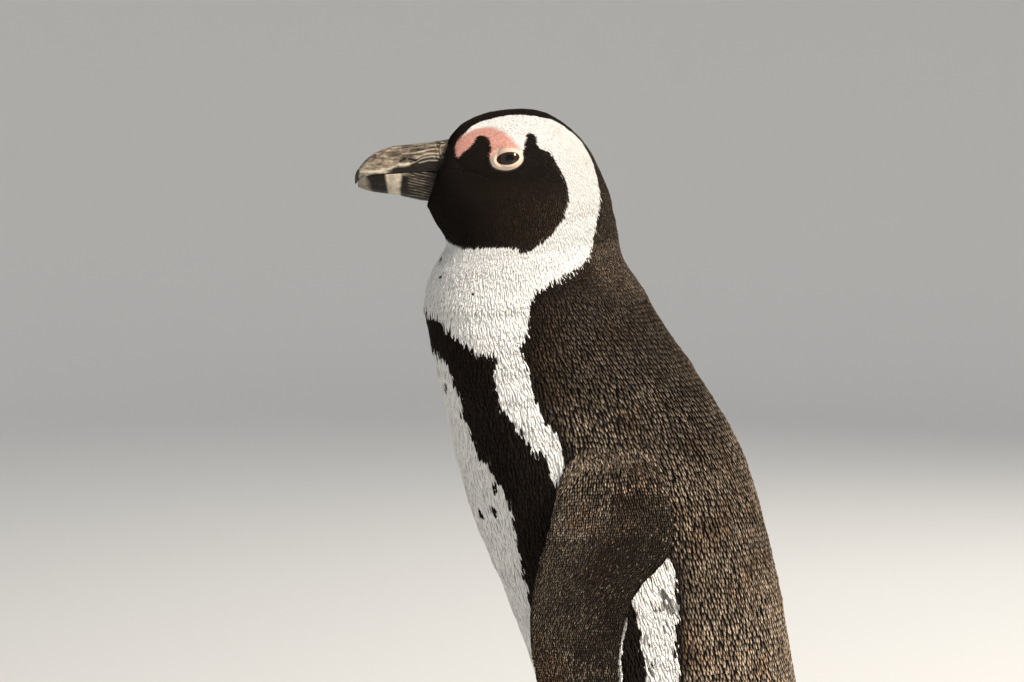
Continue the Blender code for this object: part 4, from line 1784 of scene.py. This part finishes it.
        lines = FLIPPER_LINES.rows(lambda line: graded(line, self.wing_row_pitch), 0.05, 7.97)
        roots, spread, run_down = [], [], 0.0
        for number, line in enumerate(lines):
            front, back = FLIPPER_LINES.at(np.full(2, line), np.array([1.0, -1.0]))
            chord = float(np.linalg.norm(front - back))
            step = float(graded(line, self.wing_side_pitch))
            for at in np.arange((number % 2) / 2 * step, chord * 1.04, step):
                y, z = front + (back - front) * (at / chord - 0.02)
                for face in (1, -1):
                    start = Vector((0.2 if face > 0 else 0.04, y, z))
                    hit = tree.ray_cast(start, Vector((-face, 0, 0)))[0]
                    if hit is not None:
                        roots.append(hit[:])
                        spread.append((face * (at + 4 * MM), run_down))
            run_down += float(graded(line, self.wing_row_pitch))
        roots = np.array(roots) * (sign, 1, 1)
        warp = graded(FLIPPER_LINES.locate(roots[:, 1:])[0], (1.2 * MM, 0.5 * MM))
        warp *= ripple(roots, 9 * MM, 19)
        roots[:, 1:] += FLIPPER_LINES.lie(roots[:, 1:]) * warp[:, None]
        roots += np.random.default_rng(SEED + sign).normal(size=roots.shape) * 0.13 * MM
        _, _, where, away = self.skin.nearest(roots)
        kept = among(where, Region.FLIPPER) & (away < 2.2 * MM)

        def size(at: np.ndarray, ink: np.ndarray) -> Sizes:
            """The length, width, thickness and lift of feathers with these roots."""
            line, across = FLIPPER_LINES.locate(at[:, 1:])
            edge = smooth(-0.8, -0.97, across) * smooth(3.2, 4.4, line)
            length = graded(line, (6.4 * MM, 2.9 * MM)) + 0.6 * edge * MM
            width = graded(line, (1.9 * MM, 1.2 * MM))
            lift = np.radians(graded(line, (6.8, 8.0)))
            return length, width, graded(line, (0.3 * MM, 0.2 * MM)), lift

        plumes = self._plumes(roots[kept], np.array(spread)[kept], FLIPPER_LINES, size)
        line, across = FLIPPER_LINES.locate(plumes.at[:, 1:])
        fringe = (across < -0.93 + 0.03 * ripple(plumes.at, 2 * MM, 6)) & (line > 4.2)
        plumes.ink = np.where(fringe, 0.6, plumes.ink)
        return plumes

    def _legs(self) -> Plumes:
        """Sets short soft tufts down the shanks.

        Returns:
            The tufts.
        """

        def gap(points: np.ndarray) -> np.ndarray:
            """The least distance between tufts, in metres."""
            return (1.05 + 0.5 * smooth(20 * MM, 60 * MM, points[:, 2])) * MM

        def wanted(points: np.ndarray) -> np.ndarray:
            """Whether points lie above the bare feet."""
            return points[:, 2] > (16.5 + 1.5 * ripple(points, 4 * MM, 7)) * MM

        roots = self.skin.scatter((Region.LEG,), gap, wanted)
        middle = np.sign(roots[:, 0]) * LEG_SIDE
        turn = np.arctan2(roots[:, 0] - middle, roots[:, 1] - SHANK_BACK)
        spread = np.column_stack([turn + np.sign(middle) * 4, roots[:, 2] * 40])

        def size(at: np.ndarray, ink: np.ndarray) -> Sizes:
            """The length, width, thickness and lift of tufts with these roots."""
            gaps = gap(at)
            ones = np.ones(len(at))
            return gaps * 3.4, gaps * 1.15, ones * 0.2 * MM, ones * math.radians(9)

        plumes = self._plumes(roots, spread, TRUNK_LINES, size)
        down = np.tile((0.0, 0.05, -1.0), (len(roots), 1))
        down -= plumes.normal * (down * plumes.normal).sum(1, keepdims=True)
        plumes.lie = unit(unit(down) + 0.15 * (plumes.lie - unit(down)))
        return plumes


@dataclass
class TailFan:
    """The stiff feathers over both faces of the tail."""

    skin: Skin
    material: bpy.types.Material
    feathers: int = 11
    root_half: Pair = (21 * MM, 12.5 * MM)  # half the width of the upper and of the lower row
    tip_half: float = 14 * MM
    roots: Pair = (57 * MM, 34 * MM)  # height of the upper and the lower feathers' roots
    tip: float = 6.5 * MM
    width: float = 7.4 * MM
    thickness: float = 0.6 * MM
    glint: float = 0.07
    wide: Sequence[float] = (0.8, 0.95, 1.0, 1.0, 1.0, 0.98, 0.9, 0.72, 0.28)

    def build(self) -> bpy.types.Object:
        """Makes the tail's feathers.

        Returns:
            Their object.
        """
        dice = np.random.default_rng(SEED)
        points, faces, values, flat = [], [], [], []
        for upper, number in itertools.product((True, False), range(self.feathers)):
            share = number / (self.feathers - 1) * 2 - 1 + 0.03 * dice.normal()
            loops = self._loops(self._spine(share, upper), upper, share)
            start = len(points)
            points += loops.reshape(-1, 3).tolist()
            last = len(self.wide) - 1
            for step in range(last):
                for i in range(4):
                    j = (i + 1) % 4
                    faces.append([start + 4 * step + k for k in (i, j, j + 4, i + 4)])
            faces += [[start + i for i in (3, 2, 1, 0)], [start + 4 * last + i for i in range(4)]]
            fleck = dice.random()
            for step, side in itertools.product(range(last + 1), range(4)):
                values.append((step / last, float(side % 2), fleck))
                strip = (number + 0.5 + (0.3, 0, -0.3, 0)[side]) / self.feathers
                flat.append((strip, 0.25 + 0.5 * (not upper) + 0.2 * (step / last * 2 - 1)))
        mesh = bpy.data.meshes.new("tail_feathers")
        mesh.from_pydata(points, [], faces)
        bm = bmesh.new()
        bm.from_mesh(mesh)
        bmesh.ops.recalc_face_normals(bm, faces=bm.faces)
        bm.to_mesh(mesh)
        bm.free()
        mesh.shade_smooth()
        tip, mid, fleck = np.array(values).T
        for name, value in (
            ("tip", tip),
            ("mid", mid),
            ("fleck", fleck),
            ("ink", np.ones_like(tip)),
            ("glint", np.full_like(tip, self.glint)),
            ("blush", np.zeros_like(tip)),
        ):
            store(mesh, name, value)
        corners = np.empty(len(mesh.loops), np.int32)
        mesh.loops.foreach_get("vertex_index", corners)
        unwrap(mesh, np.array(flat)[corners])
        return dress(placed("tail_feathers", mesh), self.material, "black_plumage")

    def _spine(self, share: float, upper: bool) -> np.ndarray:
        """The line that a feather follows over the tail.

        Args:
            share: Its place from -1 at one side of the tail to 1 at the other.
            upper: Whether it lies on the upper face.

        Returns:
            Its points, from the root to the tip.
        """
        face = 1 if upper else -1
        root = self.roots[0 if upper else 1]
        wide = self.root_half[0 if upper else 1]
        tip = self.tip + 9 * MM * abs(share) ** 1.6
        line: list[Vector] = []
        for t in np.linspace(0, 1, len(self.wide)):
            x = share * (wide + (self.tip_half - wide) * t)
            rise = (0.5 + 0.9 * (1 - abs(share))) * MM * min(3 * t, 1) - 0.5 * MM * (t == 0)
            z = root + (tip - root) * t
            start = Vector((x, 0.22 if upper else 0.074, z))
            hit = self.skin.tree.ray_cast(start, Vector((0, -face, 0)))[0]
            close = hit is not None and (not line or abs(hit.y - line[-1].y) < 14 * MM)
            if close and hit.y > 80 * MM:
                line.append(hit + Vector((0, face * rise, 0)))
            elif len(line) > 1:
                line.append(line[-1] * 2 - line[-2])
            else:
                line.append(Vector((x, 0.1, z)))
        return np.array(line)

    def _loops(self, spine: np.ndarray, upper: bool, share: float) -> np.ndarray:
        """The cross-sections of one vane: one edge, the shaft above, the other edge, below.

        Args:
            spine: Its middle line.
            upper: Whether it lies on the upper face.
            share: Its place across the tail.

        Returns:
            Four points for each point of the spine.
        """
        lie = unit(np.gradient(spine, axis=0))
        across = np.tile((1.0, 0.0, 0.0), (len(spine), 1))
        top = unit(np.cross(across, lie)) * (1 if upper else -1)
        top *= np.sign(top[:, 1:2]) * (1 if upper else -1)
        half = across * self.width / 2 * np.array(self.wide)[:, None]
        roll = 0.45 * MM * share
        return np.stack([
            spine - half + top * (roll - 0.2 * MM),
            spine + top * self.thickness / 2,
            spine + half - top * (roll + 0.2 * MM),
            spine - top * self.thickness / 2,
        ], axis=1)


# ---- Bill, eyes and claws --------------------------------


@dataclass
class Bill:
    """Both bill halves: scuffed horn plates, nostrils, light bands, painted highlight and shade."""

    solids: Solids
    skin: Skin
    voxel: float = 0.42 * MM
    tuck: float = 5 * MM

    def build(self) -> None:
        """Makes the upper and the lower half."""
        for node in ("bill_upper", "bill_lower"):
            obj = copy_of(self.solids, (node,), "horn_" + node.split("_")[1])
            self._tuck_in(obj.data)
            apply(obj, "REMESH", mode="VOXEL", voxel_size=self.voxel)
            mesh = obj.data
            set_places(mesh, even_out(mesh, places(mesh), 3))
            self._seat(mesh)
            if node == "bill_upper":
                self._carve_upper(mesh)
            else:
                self._carve_lower(mesh)
            mesh.shade_smooth()
            dress(obj, HornFinish(node + "_horn").build(), "bill_horn", node)

    def _tuck_in(self, mesh: bpy.types.Mesh) -> None:
        """Carries the bill's base back under the face's feathers.

        Args:
            mesh: The copied solid.
        """
        points = places(mesh)
        base = points[:, 1] + 0.333 * (points[:, 2] - 0.4675) > -0.1082
        points[base, 1] += self.tuck
        set_places(mesh, points)

    def _seat(self, mesh: bpy.types.Mesh) -> None:
        """Lays the horn's base over the skin, up to the edge where the feathers start.

        Args:
            mesh: The horn.
        """
        points = places(mesh)
        for _ in range(4):
            past = Skin.past_bill(points)
            rows = np.flatnonzero(past > -6 * MM)
            at, normal, _, _ = self.skin.nearest(points[rows])
            high = ((points[rows] - at) * normal).sum(1)
            want = 0.45 * MM - 1.0 * MM * smooth(-0.3 * MM, 0.5 * MM, past[rows])
            push = np.maximum(want - high, 0) * smooth(-5 * MM, -3.5 * MM, high)
            moves = np.zeros_like(points)
            moves[rows] = normal * (push * smooth(-6 * MM, -3 * MM, past[rows]))[:, None]
            points = points + even_out(mesh, moves, 2)
        set_places(mesh, points)

    @staticmethod
    def _line(yz: np.ndarray, points: Points, width: float) -> np.ndarray:
        """Draws a soft line in the side view.

        Args:
            yz: Points in the side view, in metres.
            points: The line's corners, in millimetres.
            width: How far it fades, in millimetres.

        Returns:
            1 on the line, fading to 0 away from it.
        """
        stroke = Outline((*points, *reversed([(y, z - 0.05) for y, z in points])), 1)
        away = np.clip(stroke.distance(yz), 0, None)
        return bell((away, 0, width * MM))

    def _carve_upper(self, mesh: bpy.types.Mesh) -> None:
        """Cuts the nostrils and grooves; marks grey horn, painted shade and painted highlights.

        Args:
            mesh: The upper half's horn.
        """
        points, normals = places(mesh), normals_of(mesh)
        yz = points[:, 1:]
        y, z = yz.T / MM
        flank = smooth(1.2, 3.5, np.abs(points[:, 0]) / MM)
        nostril = self._line(yz, ((-121.1, 492.1), (-119.6, 493.1), (-118.4, 493.7)), 0.6)
        second = self._line(yz, ((-116.3, 493.5), (-114.2, 493.1), (-112.2, 492.5)), 0.55)
        nostril = np.maximum(nostril, second)
        lump = self._line(yz, ((-120.8, 490.1), (-118.3, 490.1), (-116.2, 490.6)), 0.95)
        ridge = ((-121.4, 490.4), (-126.3, 488.2), (-132.4, 486.8), (-138, 486))
        ridge = self._line(yz, ridge, 0.6)
        backs = (
            ((-111.9, 493.8), (-108, 495.6), (-103.8, 496.5), (-99.6, 496.2)),
            ((-114.8, 490.6), (-111.8, 492.3), (-107.6, 494.2), (-102.8, 494.7), (-99, 494.3)),
            ((-119.8, 496.2), (-112, 496.6), (-105.5, 498.4), (-100.5, 499.2)),
            ((-110, 491.3), (-105, 492.6), (-100.4, 492.6)),
        )
        back_ridge = np.max([self._line(yz, line, 0.34) for line in backs], axis=0)
        valleys = ([(a, b - 0.85) for a, b in line] for line in backs)
        valley = np.max([self._line(yz, line, 0.34) for line in valleys], axis=0)
        under = self._line(yz, ((-125, 487.6), (-119, 488.2), (-114.2, 489.6)), 0.6)
        streaks = ripple(points * (0.5, 0.1, 1), 0.85 * MM, 3) * smooth(-131, -120, y)
        mottle = ripple(points, 2.3 * MM, 4) + 0.6 * ripple(points, 1.1 * MM, 5)
        rough = smooth(-103.5, -99.5, y) * smooth(491.5, 493.5, z)
        cracks = smooth(0.22, 0.03, np.abs(ripple(points * (1, 1.2, 0.8), 1.9 * MM, 6)))
        cracks = np.maximum(cracks, smooth(0.3, 0.7, ripple(points, 1.3 * MM, 7))) * rough
        tomium = bell((z, 486.1, 0.8)) * smooth(-126.5, -130, y)
        below = smooth(485.4, 484.6, z) * smooth(-132, -136, y)
        hook = smooth(-142.4, -143.9, y + 0.8 * ripple(points, 2.2 * MM, 9))
        hook = hook * smooth(488.4, 486.6, z)
        height = (
            0.5 * lump + 0.3 * ridge + 0.2 * back_ridge - 1.1 * nostril
            - 0.45 * under - 0.22 * valley - 0.42 * cracks + 0.12 * streaks + 0.06 * mottle
        )
        height = height * flank + 0.2 * tomium
        set_places(mesh, points + normals * (height * MM)[:, None])
        along = (-146, -138, -126, -121, -114, -107, -102, -94)
        crest = np.interp(y, along, (486, 486, 487.6, 489, 490, 493, 493.5, 493))
        # Greyer over the top and towards the front: partly the horn's own grey, partly a painted
        # highlight.
        above = smooth(-0.6, 1.2, z - crest)
        grey = 0.03 + 0.45 * above + 0.42 * above * smooth(-118, -127, y) + 0.4 * streaks * above
        grey += 0.3 * mottle * above + 0.5 * rough * (0.5 + 0.6 * mottle) + 0.35 * below
        grey -= 0.2 * smooth(-136, -144, y) * smooth(489, 493, z) * above
        flesh = smooth(-124, -128, y) * smooth(491.5, 487, z + 0.22 * (y + 132))
        # Painted shade in the nostrils, grooves and cracks; the hook is darker in its own colour.
        shade = np.clip(1 - nostril - 0.7 * under - 0.75 * valley - cracks - 0.88 * hook, 0, 1)
        # Mostly painted highlights along the ridges, the lump and the cutting edge, kept in "band".
        lit = 0.85 * ridge + 0.6 * back_ridge + 0.95 * tomium * (1 - hook) + 0.22 * flesh
        lit = lit * (0.8 + 0.3 * mottle) + 0.95 * lump * (1 - nostril) + 0.12 * below * (1 + mottle)
        store(mesh, "pale", (grey * shade).clip(0, 1))
        store(mesh, "band", (lit * shade).clip(0, 1))

    def _carve_lower(self, mesh: bpy.types.Mesh) -> None:
        """Cuts the fine slanting lines, and marks the light tip and band.

        Args:
            mesh: The lower half's horn.
        """
        points, normals = places(mesh), normals_of(mesh)
        y, z = points[:, 1:].T / MM
        flank = smooth(1.2, 3.2, np.abs(points[:, 0]) / MM)
        slant = 0.22 * y + 0.975 * z
        lines = np.abs(np.sin(slant * math.pi / 1.55 + 0.7 * ripple(points, 6 * MM, 2))) ** 3
        rear = smooth(-117.5, -114.5, y)
        mottle = ripple(points, 1.8 * MM, 6)
        height = 0.2 * (lines - 0.4) * rear + 0.05 * mottle
        set_places(mesh, points + normals * (height * flank * MM)[:, None])
        wander = y + 0.7 * ripple(points, 3.0 * MM, 7)
        tip = smooth(-136.8, -140.6, wander + 0.3 * (z - 480)) * smooth(484.6, 482.8, z)
        band = smooth(-119.6, -121.5, wander) * smooth(-129.2, -127.0, wander + 0.15 * (z - 479))
        edge = smooth(483.6, 484.8, z) * smooth(-114, -120, y) * smooth(-126, -123, y)
        lit = (0.4 * tip + 0.85 * band + 0.4 * edge).clip(0, 1)
        store(mesh, "band", lit * (0.85 + 0.25 * mottle))
        grooves = lines**2 * rear * flank * (0.75 + 0.35 * mottle)
        grey = 0.015 + 0.55 * grooves * smooth(-98, -109, y) + 0.03 * mottle
        store(mesh, "pale", grey.clip(0, 1))


@dataclass
class Eyes:
    """Both eyeballs, with a slightly bulging cornea."""

    centre: Vector
    radius: float = 8.6 * MM
    cornea: float = 5.4 * MM

    def build(self) -> None:
        """Makes both eyes."""
        material = EyeFinish((self.centre.y, self.centre.z)).build()
        for side, sign in (("left", 1), ("right", -1)):
            choose_none()
            bpy.ops.mesh.primitive_uv_sphere_add(
                segments=48, ring_count=32, radius=self.radius, rotation=(0, math.pi / 2, 0)
            )
            ball = bpy.context.object
            ball.name = ball.data.name = "eyeball_" + side
            bpy.ops.object.transform_apply(location=False, rotation=True, scale=True)
            points = places(ball.data)
            away = np.hypot(points[:, 1], points[:, 2])
            front = (points[:, 0] * sign > 0) & (away < self.cornea)
            bulge = 0.35 * MM * (1 - (away / self.cornea) ** 2).clip(0, 1)
            points[:, 0] += sign * bulge * front
            centre = np.array((self.centre.x * sign, self.centre.y, self.centre.z))
            set_places(ball.data, points + centre)
            ball.data.shade_smooth()
            dress(ball, material, "eye", "eye_" + side)


@dataclass
class Claws:
    """The claws, rounded and set into the toes."""

    solids: Solids
    tuck: float = 1.6 * MM

    def build(self) -> None:
        """Makes all the claws, each over its own solid."""
        material = HornFinish("claw_horn", grey=(0.06, 0.05, 0.045)).build()
        for node in sorted(self.solids):
            if not node.startswith("claw_"):
                continue
            obj = copy_of(self.solids, (node,), "nail_" + node[5:])
            mesh = obj.data
            points = places(mesh)
            ankle = np.array((LEG_SIDE * np.sign(points[0, 0]), 33 * MM))
            away = np.linalg.norm(points[:, :2] - ankle, axis=1)
            base = away < away.min() + 1.2 * MM
            back = ankle - points[base, :2].mean(0)
            points[base, :2] += back / np.linalg.norm(back) * self.tuck
            set_places(mesh, points)
            apply(obj, "SUBSURF", levels=2, render_levels=2)
            mesh = obj.data
            points = places(mesh)
            points[:, 2] = np.maximum(points[:, 2], 0.3 * MM)
            set_places(mesh, points)
            store(mesh, "pale", 0.5 + 0.4 * ripple(points, 3 * MM, 3))
            store(mesh, "band", np.zeros(len(points)))
            mesh.shade_smooth()
            dress(obj, material, "claw_horn", node)


# ---- Studio ----------------------------------------------


@dataclass(frozen=True)
class Lamp:
    """A square lamp: where it hangs and its side in metres, its watts and its colour."""

    name: str
    place: tuple[float, float, float]
    side: float
    power: float
    colour: Colour

    def hang(self, target: Vector) -> None:
        """Makes the lamp.

        Args:
            target: The place that it faces, in metres.
        """
        data = bpy.data.lights.new(self.name, "AREA")
        data.size = self.side
        data.energy = self.power
        data.color = self.colour
        lamp = placed(self.name, data)
        lamp.location = self.place
        lamp.rotation_euler = (target - Vector(self.place)).to_track_quat("-Z", "Y").to_euler()


@dataclass
class Studio:
    """A pale sweep of floor, soft lamps and the camera."""

    aim: Vector = field(default_factory=lambda: Vector((0, -58.8, 391.4)) * MM)
    distance: float = 1.7
    elevation: float = math.radians(5)
    field_width: float = 573 * MM
    sensor: float = 36
    floor_side: float = 15
    floor_cuts: int = 75
    flat_reach: float = 3.2  # the radius past which the floor curves up
    floor_curve: float = 0.4
    middle: Vector = field(default_factory=lambda: Vector((0, 0, 0.33)))  # what the lamps face
    lamps: Sequence[Lamp] = (
        Lamp("key", (1.15, 1.55, 1.75), 0.5, 88.0, (1.0, 0.92, 0.81)),
        Lamp("fill", (1.6, -2.1, 0.9), 2.0, 4.5, (0.80, 0.89, 1.0)),
        Lamp("back", (-1.7, 0.9, 1.5), 1.0, 16.0, (1.0, 0.94, 0.86)),
    )
    sky: Colour = (0.84, 0.90, 1.0)
    sky_strength: float = 0.46

    def build(self) -> None:
        """Makes the studio."""
        self._floor()
        self._camera()
        bpy.context.scene.view_settings.view_transform = "Standard"
        for lamp in self.lamps:
            lamp.hang(self.middle)
        world = bpy.data.worlds.new("studio")
        bpy.context.scene.world = world
        world.use_nodes = True
        sky = world.node_tree.nodes["Background"]
        sky.inputs["Color"].default_value = (*self.sky, 1)
        sky.inputs["Strength"].default_value = self.sky_strength

    def _floor(self) -> None:
        """A floor that curves up all round, far from the bird."""
        choose_none()
        bpy.ops.mesh.primitive_plane_add(size=self.floor_side)
        floor = bpy.context.object
        floor.name = floor.data.name = "studio_floor"
        bpy.ops.object.mode_set(mode="EDIT")
        bpy.ops.mesh.select_all(action="SELECT")
        bpy.ops.mesh.subdivide(number_cuts=self.floor_cuts)
        bpy.ops.object.mode_set(mode="OBJECT")
        points = places(floor.data)
        past = np.clip(np.hypot(points[:, 0], points[:, 1]) - self.flat_reach, 0, None)
        points[:, 2] = self.floor_curve * past**2
        set_places(floor.data, points)
        floor.data.shade_smooth()
        floor.data.materials.append(FloorFinish().build())

    def _camera(self) -> None:
        """The camera, level with the bird's head on its left side."""
        away = Vector((math.cos(self.elevation), 0, math.sin(self.elevation)))
        data = bpy.data.cameras.new("camera")
        data.sensor_width = self.sensor
        data.lens = self.sensor * self.distance / self.field_width
        camera = placed("camera", data)
        camera.location = self.aim + away * self.distance
        camera.rotation_euler = (-away).to_track_quat("-Z", "Y").to_euler()
        bpy.context.scene.camera = camera


def main() -> None:
    """Builds the penguin and its studio."""
    logging.basicConfig(level=logging.INFO, format="%(name)s: %(message)s")
    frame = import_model()
    solids = frame["nodes"]
    low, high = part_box("eye_left")
    eye = (low + high) / 2
    markings = Markings()
    Studio().build()
    skin = Skin(solids, markings, eye)
    skin.build()
    Eyes(eye).build()
    Bill(solids, skin).build()
    Claws(solids).build()
    Plumage(skin, solids, markings).build()


if __name__ == "__main__":
    main()
